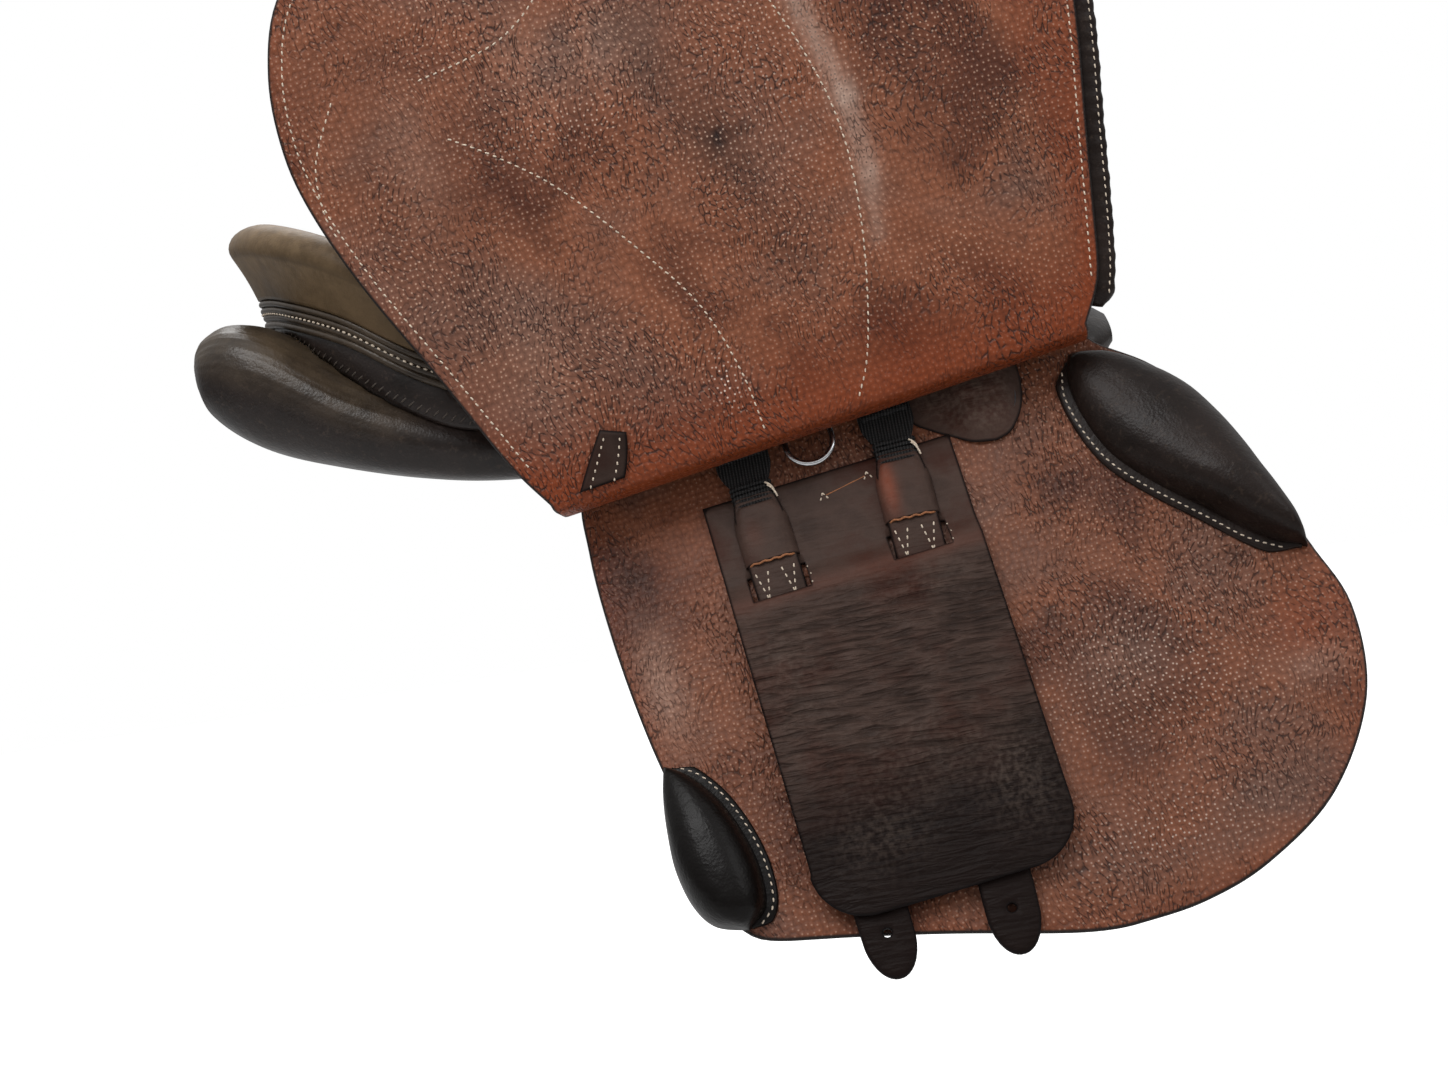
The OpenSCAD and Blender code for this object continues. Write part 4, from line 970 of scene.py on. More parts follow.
def stuffed_block(back, front, lift, crown, flange, puckers):
    """Domed block between two edge lines that meet at its tips, with a sewn flange along its back edge."""
    rows, cols = 60, 40
    s = 0.5 - 0.5 * np.cos(np.linspace(0.02, 0.98, rows) * np.pi)
    left, right = along(back, s), along(front, s)
    c = 0.5 - 0.5 * np.cos(np.linspace(0, 1, cols) * np.pi)
    grid = between(left, right, c)
    high = along([(v,) for v in lift], s)[:, 0] * crown
    end = np.clip(np.minimum(s, 1 - s) / 0.07, 0, 1) ** 0.5
    swell = (1 - np.abs(2 * c - 1) ** 2.6) ** 0.55
    pucker = 1 + 0.03 * np.sin(s * puckers)[:, None] * (1 - swell)[None, :]
    z = 0.3 + high[:, None] * end[:, None] * swell[None, :] * pucker
    top = np.dstack([grid, z])
    under = np.dstack([grid, np.full_like(z, BLOCK_BASE)])
    loop = np.concatenate([top, under[:, ::-1][:, 1:-1]], axis=1)
    dome = capped(loop, loop[0].mean(0), loop[-1].mean(0))
    # flange, skived from the seam to its edge
    steps = 70
    line = along(back, np.linspace(0.06, 0.97, steps))
    ahead = np.gradient(line, axis=0)
    out = np.column_stack([ahead[:, 1], -ahead[:, 0]]) / np.linalg.norm(ahead, axis=1)[:, None]
    inward = (along(front, 0.5) - along(back, 0.5))
    if (out[steps // 2] @ inward) > 0:
        out = -out
    taper = np.clip(np.minimum(np.linspace(0, 1, steps), np.linspace(1, 0, steps)) / 0.1, 0.2, 1)
    shares = np.array([-0.35, 0, 0.4, 0.75, 0.92, 1.0])
    strip = line[:, None] + out[:, None] * (flange * taper)[:, None, None] * shares[None, :, None]
    thick = np.array([2.6, 2.6, 2.4, 2.2, 1.6, 0.7])
    mid = np.dstack([strip, np.broadcast_to(BLOCK_BASE + thick / 2, strip.shape[:2])]).reshape(-1, 3)
    skirt = thicken(mid, grid_faces(*strip.shape[:2]), straight_up(mid), np.tile(thick, steps))
    seam = line + out * (flange * taper * 0.55)[:, None]
    return joined(dome, skirt), seam[4:-4]


class SADDLE_OT_blocks(bpy.types.Operator):
    """Knee and thigh blocks under the flaps"""
    bl_idname = "saddle.blocks"
    bl_label = "Blocks"

    def execute(self, context):
        for side, near in both_sides():
            # the last number is the tone: the thigh block is painted near black as shade, the knee block a little
            # darker
            for name, back, front, lift, crown, flange, tone in (
                    ("knee_block_", KNEE_BACK, KNEE_FRONT, KNEE_LIFT, 27, 7.0, -0.1),
                    ("thigh_block_", THIGH_FRONT, THIGH_BACK, THIGH_LIFT, 25, 6.0, -1.0)):
                mesh, seam = stuffed_block(back, front, lift, crown, flange, puckers=60)
                obj = piece(name + "leather_" + side, mesh, calf(), "saddle", SIDE, near,
                            {"tone": np.full(len(mesh[0]), tone)}, (name + side,))
                outward(obj)
                spots, normals = dropped(row(seam[::6], 4.2), mesh)
                piece(name + "stitching_" + side, stitches(spots, normals), thread(), "saddle", SIDE, near)
        return {"FINISHED"}


def strap(length, width, thick, holes, first, step, top_w, radius=2.5):
    """Billet in its own frame: a strap down from the origin with punched holes and a drawn-in round tip."""
    half = width / 2
    xs = np.array([-1, -0.94, -0.82, -0.36, 0.36, 0.82, 0.94, 1.0])

    def half_at(y):
        tip = y + length
        if tip < 26:
            return half * max(1 - ((26 - tip) / 26) ** 2.2, 0.004) ** 0.5
        return half - (half - top_w / 2) * max(0.0, 1 - (-3 - y) / 20) ** 2

    centres = [-length + first + i * step for i in range(holes)]
    cuts = sorted({round(c + d * 5.2, 3) for c in centres for d in (-1, 1)}
                  | {round(y, 3) for y in np.linspace(-3, max(centres) + 6.5, 24)}
                  | {round(-length + v, 3) for v in (0.1, 0.6, 1.6, 3, 5, 8, 12, 16)}, reverse=True)
    cuts = [y for k, y in enumerate(cuts) if k == 0 or cuts[k - 1] - y > 0.05]
    points, faces, index = [], [], {}

    def vert(x, y):
        key = (round(x, 3), round(y, 3))
        if key not in index:
            index[key] = len(points)
            points.append((x, y))
        return index[key]

    def ring(c, r):
        turns = np.radians(135 - 30 * np.arange(12))
        return [vert(r * math.cos(a), c + r * math.sin(a)) for a in turns]

    hole_rows = {round(c + 5.2, 3): c for c in centres}
    for y0, y1 in zip(cuts, cuts[1:]):
        a, b = xs * half_at(y0), xs * half_at(y1)
        for j in range(7):
            if y0 in hole_rows and j == 3:
                c = hole_rows[y0]
                corners = [vert(a[3], y0), vert(a[4], y0), vert(b[4], y1), vert(b[3], y1)]
                hole, lip = ring(c, radius), ring(c, radius + 0.9)
                for k in range(12):
                    m = (k + 1) % 12
                    faces.append((hole[k], hole[m], lip[m], lip[k]))
                for q in range(4):
                    r = [lip[(3 * q + k) % 12] for k in range(4)]
                    faces.append((*r, corners[(q + 1) % 4], corners[q]))
            else:
                faces.append((vert(a[j], y0), vert(b[j], y1), vert(b[j + 1], y1), vert(a[j + 1], y0)))
    flat = np.array(points)
    shape = [(-half_at(y), y) for y in cuts] + [(half_at(y), y) for y in reversed(cuts)]
    edge = edge_distance(flat, np.array(shape))
    for c in centres:
        edge = np.minimum(edge, np.hypot(flat[:, 0], flat[:, 1] - c) - radius + 0.3)
    spots = np.column_stack([flat, 5.9 + 0.25 * np.sin(flat[:, 1] / 17)])
    return thicken(spots, faces, straight_up(spots), rounded(thick, edge, 2.2)), edge


SLITS = [(-77.0, -43.0), (5.4, 39.4)]
SLIT_TOP, SLIT_FOOT = -84.0, -101.5
GUARD_LEFT, GUARD_WIDTH = -90.0, 147.0


def guard():
    """Billet guard in the side frame: one leather with two slits; behind the billets above them, over them below."""
    steps = 52
    v = np.linspace(-34, -258, steps)
    for at in (SLIT_TOP, SLIT_FOOT):
        v[np.argmin(np.abs(v - at))] = at
    turns = np.radians(np.linspace(3, 88, 12))
    left = np.concatenate([np.column_stack([np.full(steps, GUARD_LEFT), v]),
                           np.column_stack([-60 - 31 * np.cos(turns), -260 - 30 * np.sin(turns)])])
    right = np.concatenate([np.column_stack([58 - 3 * np.linspace(0, 1, steps), v]),
                            np.column_stack([25 + 30 * np.cos(turns), -260 - 30 * np.sin(turns)])])
    cols = np.unique(np.round(np.concatenate([
        [0, 0.008, 0.018], np.linspace(0.03, 0.97, 56), [0.982, 0.992, 1.0],
        [(u - GUARD_LEFT) / GUARD_WIDTH for pair in SLITS for u in pair]]), 4))
    grid = between(left, right, cols)
    flat = grid.reshape(-1, 2)
    rows, n_cols = grid.shape[:2]

    def kept(i, j):
        if i + 1 >= steps or v[i + 1] >= SLIT_TOP or v[i] <= SLIT_FOOT:
            return True
        mid = (cols[j] + cols[j + 1]) / 2 * GUARD_WIDTH + GUARD_LEFT
        return not any(a < mid < b for a, b in SLITS)

    outline = np.concatenate([left, grid[-1, 1:-1], right[::-1], grid[0, ::-1][1:-1]])
    edge = edge_distance(flat, outline)
    for a, b in SLITS:
        box = [(a, SLIT_TOP), (b, SLIT_TOP), (b, SLIT_FOOT), (a, SLIT_FOOT)]
        edge = np.minimum(edge, edge_distance(flat, np.array(box, float)) + 0.5)
    # it rises over the billets along the slits
    t = np.clip((SLIT_TOP - flat[:, 1]) / (SLIT_TOP - SLIT_FOOT), 0, 1)
    z = 2.0 + 8.6 * (t * t * (3 - 2 * t))
    lower = np.clip((-110 - flat[:, 1]) / 20, 0, 1)
    wrinkles = creases(flat, [((-85, -128), (20, -124), 3, 0.7), ((-40, -150), (50, -146), 4, 0.8),
                              ((-88, -176), (-10, -181), 4, -0.3), ((-60, -205), (45, -199), 5, 0.8),
                              ((-80, -222), (30, -216), 4, 0.7), ((0, -260), (50, -254), 4, 0.5)])
    billet = np.exp(-(((flat[:, 0] + 60) / 15) ** 4)) + np.exp(-(((flat[:, 0] - 16) / 16) ** 4))
    z += lower * (np.maximum(wrinkles, -0.2) + 0.8 * billet)
    spots = np.column_stack([flat, z])
    faces = grid_faces(rows, n_cols, keep=kept, flip=True)
    normals = upward(spots.reshape(rows, n_cols, 3))
    return thicken(spots, faces, normals, rounded(GUARD_THICK, edge, 1.6)), edge, flat


class SADDLE_OT_girthing(bpy.types.Operator):
    """Billets, their webs and windings, the guard, point pockets and girth rings"""
    bl_idname = "saddle.girthing"
    bl_label = "Girthing"

    def execute(self, context):
        for side, near in both_sides():
            for name, place, length, u in (("rear_", REAR_BILLET, 294, -60), ("front_", FRONT_BILLET, 301, 26)):
                self.billet(side, near, name, place, length)
                self.web(side, near, name, u, place)
            self.guard(side, near)
            self.pocket(side, near)
            self.ring("girth_dee_", side, near, (-20, -4, 5.4), bow=24, tab_w=21, tab_top=15.7, back=-5.0)
            self.ring("front_dee_", side, near, (134, 30, 22.1), bow=23, tab_w=17, tab_top=14, back=-3.8)
        return {"FINISHED"}

    def billet(self, side, near, name, place, length):
        body = "billets_" + side
        mesh, edge = strap(length, width=29, thick=BILLET_THICK, holes=8, first=25, step=22, top_w=20)
        piece(name + "billet_leather_" + side, mesh, strap_leather(), body, place, near,
              {"edge": edge, "tone": np.clip((mesh[0][:len(edge), 1] + 80) / 80, -1, -0.1),
               "fold": np.full(len(edge), 0.25)},
              (name + "billet_" + side,))
        # two tacked points on the strap, seen in the guard's slit
        rows = []
        for x in (-8.0, 7.2):
            for lean in (-1, 1):
                path = row([(x + lean * 3.4, -54.6), (x + lean * 1.9, -61.4), (x + lean * 0.5, -68.4)], 3.5)
                rows.append(stitches(*dropped(path, mesh), 3.0, 0.95, 0))
        piece(name + "billet_stitching_" + side, joined(*rows), thread(), body, place, near)
        # soft leather drawn over the strap from its winding down to the slit
        foot, steps = -47.4, 34
        y = np.linspace(-12.6, foot, steps)
        half = 15.4 - 3.2 * np.clip((y + 26) / 13, 0, 1) ** 2
        c = np.concatenate([[-1, -0.985, -0.96], np.linspace(-0.92, 0.92, 22), [0.96, 0.985, 1]])
        x = half[:, None] * c[None, :]
        flat = np.column_stack([x.ravel(), np.repeat(y, len(c))])
        z = 3.95 + 5.4 * (1 - np.abs(c) ** 8)[None, :] + 0.25 * np.sin(y / 4.1)[:, None] * (1 - np.abs(c))[None, :]
        hem = np.minimum(flat[:, 1] - foot, 4)
        spots = np.column_stack([flat, z.ravel()])
        normals = upward(spots.reshape(steps, len(c), 3))
        worn = swells(flat, [(-9, -26, 4.5, 16, 0.8) if name == "front_" else (-6, -30, 5, 9, 0.12)])
        cover = thicken(spots, grid_faces(steps, len(c), flip=True), normals, COVER_THICK)
        fields = {"edge": hem + 0.7, "tone": worn, "scuff": 0.12 * worn, "fold": np.full(len(flat), 0.12)}
        piece(name + "billet_cover_" + side, cover, strap_leather(), body, place, near, fields)
        t = np.linspace(-1, 1, 40)
        hem = np.column_stack([13.6 * t, foot - 0.4 + 0.35 * np.sin(t * 14), 9.75 - 3.4 * np.abs(t) ** 9])
        piece(name + "billet_hem_thread_" + side, tube(hem, 0.62, 8), brown_thread(), body, place, near)

    def web(self, side, near, name, u, place):
        v = np.linspace(28, -30.5, 40)
        half = 15.8 - 5.2 * np.clip((-v - 17) / 13, 0, 1) ** 1.6
        c = np.linspace(-1, 1, 15)
        x = u + half[:, None] * c[None, :]
        z = 5.9 + np.sin(c * 16)[None, :] * 0.3 * np.clip((-v - 6) / 20, 0, 1)[:, None]
        spots = np.dstack([x, np.broadcast_to(v[:, None], x.shape), z]).reshape(-1, 3)
        band = thicken(spots, grid_faces(len(v), len(c), flip=True), straight_up(spots), 1.9)
        # end of the web, turned under and sewn across
        t = np.linspace(-1, 1, 24)
        path = np.column_stack([u + 13.6 * t, -11.5 + 0.4 * t, 8.1 - 0.3 * t * t])
        roll = tube(path, np.tile([2.3, 1.4], (24, 1)), 10)
        piece(name + "web_strap_" + side, joined(band, roll), webbing(), "saddle", SIDE, near, None,
              (name + "web_" + side,))
        a = np.linspace(0, 2 * np.pi, 40, endpoint=False)
        turns = []
        for k in range(5):
            path = np.column_stack([11.2 * np.sign(np.cos(a)) * np.abs(np.cos(a)) ** 0.5,
                                    0.2 - 2.9 * k + 0.5 * np.sin(a),
                                    5.95 + 1.2 * np.sign(np.sin(a)) * np.abs(np.sin(a)) ** 0.5])
            turns.append(tube(path, 1.45, 8, True, (0, 1, 0)))
        body = "billets_" + side
        piece(name + "web_winding_" + side, joined(*turns), webbing(), body, place, near, None)
        ends = [[(8.6, -1, 9.0), (10.6, -2.6, 9.2), (12.2, -5.2, 8.4), (12.6, -8.5, 8.0)],
                [(9.6, -3, 9.0), (11.6, -5.4, 9.0), (12.8, -8.2, 8.2), (13.4, -11.0, 7.8)]]
        bits = [tube(evenly(e, 14), 0.55, 6) for e in ends]
        piece(name + "web_thread_" + side, joined(*bits), thread(), body, place, near)

    def guard(self, side, near):
        mesh, edge, flat = guard()
        scuff = swells(flat, [(33, -238, 22, 30, 0.22), (-20, -215, 40, 26, 0.15), (-70, -150, 20, 40, 0.15),
                              (20, -120, 30, 12, 0.15), (-50, -250, 26, 20, 0.15)])
        tone = 0.18 * np.exp(-((flat[:, 1] + 102) / 5) ** 2) - np.clip((-195 - flat[:, 1]) / 50, 0, 1)
        fold = np.clip((-100 - flat[:, 1]) / 24, 0, 1) * (0.3 + 0.7 * np.clip((flat[:, 1] + 250) / 40, 0, 1))
        body = "guard_" + side
        piece("billet_guard_leather_" + side, mesh, strap_leather(), body, SIDE, near,
              {"edge": edge, "tone": tone, "scuff": scuff, "fold": 0.12 + 0.8 * fold},
              ("billet_guard_" + side,))
        rows = []
        for u in (-42.2, 40.2):
            rows.append(stitches(*dropped(row([(u, -87), (u + 0.6, -93), (u, -99)], 3.6), mesh), 1.5, 0.8))
        for u, v in ((-21.5, -48.6), (6.0, -44.0)):
            for lean in (-1, 1):
                path = np.array([(u + lean * 0.4, v + 1.5), (u + lean * 1.9, v - 1.2)])
                rows.append(stitches(*dropped(path, mesh), 2.4, 0.9, 0))
        piece("billet_guard_stitching_" + side, joined(*rows), thread(), body, SIDE, near)
        t = np.linspace(0, 1, 20)
        tack = np.column_stack([-20 + 24.5 * t, -48.4 + 4.4 * t, 2.95 + 0.1 * np.sin(t * 12)])
        piece("billet_guard_tack_" + side, tube(tack, 0.4, 6), brown_thread(), body, SIDE, near)

    def pocket(self, side, near):
        left = evenly([(36, 7), (37, -8), (40, -20), (50, -29), (60, -36), (70, -43), (82, -46)], 34)
        right = evenly([(106, 7), (108, -4), (107, -17), (103, -30), (96, -40), (90, -44.5), (82, -46.2)], 34)
        grid = between(left, right, finer_edges(30, 0.01))
        flat = grid.reshape(-1, 2)
        edge = edge_distance(flat, np.concatenate([left, right[::-1]]))
        rise = 1 - np.exp(-(edge / 8) ** 2)
        fold = creases(flat, [((62, -2), (104, -7), 2.5, 0.7), ((66, -12), (104, -17), 3, 0.6),
                              ((70, -26), (98, -29), 3, 0.5), ((58, -18), (78, -34), 3, -0.5)])
        # skived thin towards the billets, where the guard slides over it
        full = np.clip((flat[:, 0] - 60) / 12, 0, 1)
        spots = np.column_stack([flat, 0.5 + full * (1.4 + rise * (4.5 + fold))])
        mesh = thicken(spots, grid_faces(*grid.shape[:2]), straight_up(spots), rounded(0.7 + 1.2 * full, edge, 1.4))
        obj = piece("point_pocket_leather_" + side, mesh, strap_leather(), "saddle", SIDE, near,
                    {"edge": edge, "tone": 0.06 * rise, "scuff": 0.3 * rise, "fold": 0.25 * rise},
                    ("point_pocket_" + side,))
        outward(obj)

    def ring(self, name, side, near, at, bow, tab_w, tab_top, back):
        r = 13.8
        drop = bow - r
        bar = np.column_stack([np.linspace(r - 1.5, -r + 1.5, 20), np.zeros(20)])
        down = np.column_stack([np.full(8, -r), np.linspace(-1.8, -drop, 8)])
        a = np.radians(np.linspace(186, 354, 40))
        arc = np.column_stack([r * np.cos(a), -drop + r * np.sin(a)])
        rise = np.column_stack([np.full(8, r), np.linspace(-drop, -1.8, 8)])
        loop = np.concatenate([bar, down, arc, rise])
        path = np.column_stack([loop, np.zeros(len(loop))]) + at
        obj = piece(name + "wire_" + side, tube(path, 1.8, 16, True), steel(), name + side, SIDE, near,
                    None, (name + side,))
        outward(obj)
        wrap = 3.1
        prof = [(tab_top, back + 1.0)]
        prof += [(t, back + 1.0) for t in np.linspace(tab_top - 2, 3.2, 8)]
        prof += [(wrap * math.sin(math.radians(k)), -wrap * math.cos(math.radians(k)))
                 for k in np.linspace(50, -230, 28)]
        prof += [(t, wrap * 0.15 + back + 3.6) for t in np.linspace(3.6, tab_top - 1, 8)]
        prof = np.array(prof)
        c = np.linspace(-tab_w / 2, tab_w / 2, 14)
        grid = np.dstack([np.broadcast_to(c[None, :], (len(prof), 14)),
                          np.broadcast_to(prof[:, :1], (len(prof), 14)),
                          np.broadcast_to(prof[:, 1:], (len(prof), 14))]) + np.array(at)
        mesh = thicken(grid.reshape(-1, 3), grid_faces(len(prof), 14), grid_normals(grid).reshape(-1, 3), 1.5)
        piece(name + "tab_web_" + side, mesh, webbing(), "saddle", SIDE, near, None,
              (name + "tab_" + side,))


# Seat: spokes from a spine out to the rim, as in the solid model

def side_height(x, v, n):
    return 38 + (x - 40) * math.tan(math.radians(RISE)) + (
        v * math.cos(math.radians(SPLAY)) + n * math.sin(math.radians(SPLAY))) / math.cos(math.radians(RISE))


def waist_rim(x, wall):
    return side_height(x, 50, 4.6) + 0.6 + 8 + 0.3 + wall


SEAT_EDGE = [
    (-308, 0, 204, 45), (-286, 65, 201, 45), (-242, 111.8, 184, 45), (-192, 130, 154, 45),
    (-128, 118, waist_rim(-128, 40) + 16, 40), (-60, 96, waist_rim(-60, 22) + 3, 22), (0, 82, waist_rim(0, 15), 15),
    (60, 75, waist_rim(60, 15), 15), (120, 64, waist_rim(120, 20), 20), (165, 48, 148, 30), (188, 20.2, 165, 38),
    (192, 0, 168, 40)]
TUCK = [(v,) for v in (0, 0, 0, 0.1, 0.6, 1, 1, 1, 1, 0.8, 0.7, 0.7)]


def seat_edge(s):
    """Place, rim height and wall of the seat's edge on one side, smooth across the saddle's middle."""
    ring = np.array([SEAT_EDGE[1], *SEAT_EDGE, SEAT_EDGE[-2]], float)
    ring[[0, -1], 1] *= -1
    return along(ring, (1 + 11 * np.asarray(s)) / 13)


LOW_X, LOW_Z = -60, 118
# where the seat's top meets the round of its rim, and where the round ends in the wall, in radii of the round
RIM_DROP, RIM_INSET = 0.234, 1.64
TURN_DROP, TURN_INSET, TURN_LEAN = 1.375, 0.073, 0.927
WELT_END = 0.36


def spine_x(x):
    return LOW_X + 0.55 * (x - LOW_X)


def seat_floor(x):
    d = x - LOW_X
    return LOW_Z + d * d * np.where(d < 0, 0.0013, 0.0006)


def tuck(s):
    return 9 * (1 - along(TUCK, s)[:, 0])


def spoke(s, share, inset):
    """Flat points on the seat's spokes."""
    c = seat_edge(s)
    root = np.column_stack([spine_x(c[:, 0]), np.zeros(len(s))])
    arm = c[:, :2] - root
    size = np.linalg.norm(arm, axis=1)
    reach = np.maximum(size * share - inset, 0.0)
    return root + arm / size[:, None] * reach[:, None]


def rim_round(s):
    """Radius of the seat's rim: a thumb's width at the cantle."""
    return 3.2 + 8.8 * np.clip((0.4 - s) / 0.16, 0, 1)


def crest(s, share):
    """Points of the seat's top at a share of the way out to its rounded rim."""
    c = seat_edge(s)
    z = seat_floor(spine_x(c[:, 0]))
    top = c[:, 2] - RIM_DROP * rim_round(s)
    p = spoke(s, share, RIM_INSET * share * rim_round(s))
    return p, z + (top - z) * share ** 1.8


def wall_foot(s):
    c = seat_edge(s)
    return c[:, 2] - c[:, 3]


def foam_foot(s, share):
    c = seat_edge(s)
    z = seat_floor(spine_x(c[:, 0])) - 25
    return wall_foot(s) + (z - wall_foot(s)) * max(1 - share ** 2, 0)


def welt_line(s, drop, inset):
    """Line below the cantle's wall, in from its face."""
    p = spoke(s, 1, tuck(s) + inset)
    return np.column_stack([p, wall_foot(s) - drop])


class SADDLE_OT_seat(bpy.types.Operator):
    """Seat with its cantle, the piped seams, the wall and the welts under it"""
    bl_idname = "saddle.seat"
    bl_label = "Seat"

    def execute(self, context):
        half = np.linspace(0, 1, 97)
        s = np.concatenate([half, half[-2:0:-1]])
        sign = np.concatenate([np.ones(len(half)), -np.ones(len(half) - 2)])
        rings, tones = [], []

        def lay(p, z, tone):
            rings.append(np.column_stack([p[:, 0], p[:, 1] * sign, z]))
            tones.append(tone)

        # the top, with a piped seam on each side, paler towards the cantle's rim as painted highlight
        seam_at = 0.66
        shares = np.unique(np.round(np.concatenate([
            [0.0, 0.06], np.linspace(0.12, 0.96, 26),
            seam_at + np.array([-0.035, -0.022, -0.012, 0, 0.012, 0.022, 0.035]), [1.0]]), 4))
        seam_part = np.clip(np.minimum((s - 0.16) / 0.06, (0.95 - s) / 0.05), 0, 1)
        rear = np.clip((WELT_END - s) / 0.2, 0, 1)
        for share in shares:
            p, z = crest(s, share)
            z = z + sizes().seam_height * seam_part * math.exp(-((share - seam_at) / 0.014) ** 2)
            lay(p, z, rear * min(max((share - 0.55) / 0.35, 0), 1) * 0.75 + 0.18 * (1 - share))
        # the round of the rim, leaning back at the cantle, with painted highlight on the round at the rear
        c = seat_edge(s)
        r = rim_round(s)
        lean = 3.5 * np.clip((0.3 - s) / 0.2, 0, 1)
        for turn in np.radians([-28, -14, 0, 14, 28, 42, 56, 70, 84, 98, 112]):
            p = spoke(s, 1, r * (1 - math.sin(turn)) - lean * max(math.sin(turn), 0))
            lay(p, c[:, 2] - r * (1 - math.cos(turn)), rear * (0.75 - 0.3 * abs(turn)))
        # the wall down to the welts, its painted highlight fading downwards
        start = TURN_INSET * r - TURN_LEAN * lean
        for share in np.linspace(0.08, 1, 13):
            p = spoke(s, 1, start + (tuck(s) - start) * share + 0.8 * math.sin(math.pi * share))
            lay(p, c[:, 2] - TURN_DROP * r + (TURN_DROP * r - c[:, 3]) * share, rear * (0.42 - 0.25 * share))
        # the underside of the foam
        for share in (1, 0.9, 0.75, 0.5, 0.25, 0.0):
            lift = 0.4 if share == 1 else 1.0
            lay(spoke(s, share, 4.5 + tuck(s)), foam_foot(s, share) + lift, s * 0)
        verts = np.concatenate(rings)
        mesh = verts, grid_faces(len(rings), len(s), True)
        obj = piece("seat_leather_over_foam", mesh, cowhide(), "saddle", LEVEL, False,
                    {"tone": np.concatenate(tones), "edge": np.full(len(verts), 9.0)},
                    ("seat_cover", "seat_foam"))
        outward(obj)
        rows = []
        t = np.linspace(0.17, 0.94, 150)
        for mirror in (1, -1):
            for share in (seam_at - 0.045, seam_at + 0.045):
                p, _ = crest(t, share)
                spots, normals = dropped(row(np.column_stack([p[:, 0], p[:, 1] * mirror])[::4]), mesh, 300.0)
                rows.append(stitches(spots, normals))
        piece("seat_stitching", joined(*rows), brown_thread(), "saddle", LEVEL)
        self.welts()
        return {"FINISHED"}

    def welts(self):
        """Two rows of piping under the wall and two on the panels, each pair with its strip behind it."""
        t = np.linspace(-WELT_END, WELT_END, 160)
        s = np.abs(t)
        sign = np.where(t < 0, -1.0, 1.0)
        fade = np.clip((WELT_END - s) / 0.02, 0.3, 1)
        flip = np.column_stack([np.ones(len(t)), sign, np.ones(len(t))])
        # drop below the wall, inset and radius of each row
        for name, lines, node in (
                ("seat_welt_piping", ((2.7, 1.9, 2.0), (6.9, 2.2, 1.9)), "seat_welt"),
                ("panel_welt_piping", ((11.3, 3.4, 2.2), (16.0, 3.6, 2.3)), "panel_welt")):
            parts = [tube(welt_line(s, drop, inset) * flip, r * fade, 12) for drop, inset, r in lines]
            middle = sum(drop for drop, _, _ in lines) / 2
            strip = tube(welt_line(s, middle, 5.2) * flip, np.column_stack([2.6 * fade, 3.2 * fade]), 10)
            mesh = joined(*parts, strip)
            # the welts are painted a paler olive as highlight
            obj = piece(name, mesh, glazed_calf(), "saddle", LEVEL, False, {"tone": np.full(len(mesh[0]), 0.35)},
                        (node,))
            outward(obj)
        line = welt_line(s, 9.1, 0.9) * flip
        spots = evenly(line[::4], int(run_length(line) / sizes().stitch_step))
        out = spots * (1, 1, 0) - np.array([-150, 0, 0])
        out /= np.linalg.norm(out, axis=1)[:, None]
        piece("welt_stitching", stitches(spots, out, 2.8, 1.3, 0), thread(), "saddle", LEVEL)


def panel_run(x, mid, low, high, half_w, slope):
    return x, mid, (low + high) / 2, half_w, (high - low) / 2, slope


# half the channel, room beside it at the waist, and the rear's reach, width, foot and height
CHANNEL, ROOM = 35, 54.5
REAR_X, REAR_WIDE, REAR_FOOT, REAR = -308, 130, 62.5, 96.5
PANEL_RUNS = [panel_run(REAR_X + x, mid * REAR_WIDE, REAR_FOOT + low, REAR_FOOT + high * REAR, w * REAR_WIDE, slope)
              for x, mid, low, high, w, slope in (
                  (-23, 0.262, 0.48 * REAR, 0.65, 0.046, 8), (-16, 0.262, 0.32 * REAR, 0.785, 0.185, 8),
                  (2, 0.27, 0.145 * REAR, 0.85, 0.277, 9), (28, 0.285, 0, 0.767, 0.323, 11),
                  (68, 0.308, -11.75, 0.484, 0.362, 14), (108, 0.308, -21.25, 0.293, 0.37, 16),
                  (148, 0.3, -27.7, 0.173, 0.354, 18))]
PANEL_RUNS += [panel_run(x, mid * ROOM, z - share * 37, z + share * 37, w * ROOM, slope)
               for x, mid, z, w, share, slope in (
                   (-100, 0.66, 50, 0.697, 0.53, 22), (-40, 0.587, 46, 0.587, 0.5, 24),
                   (40, 0.605, 47, 0.642, 0.5, 25), (110, 0.569, 48, 0.605, 0.44, 26),
                   (165, 0.569, 56, 0.624, 0.46, 26), (196, 0.55, 60, 0.55, 0.4, 26), (212, 0.55, 62, 0.257, 0.16, 26))]


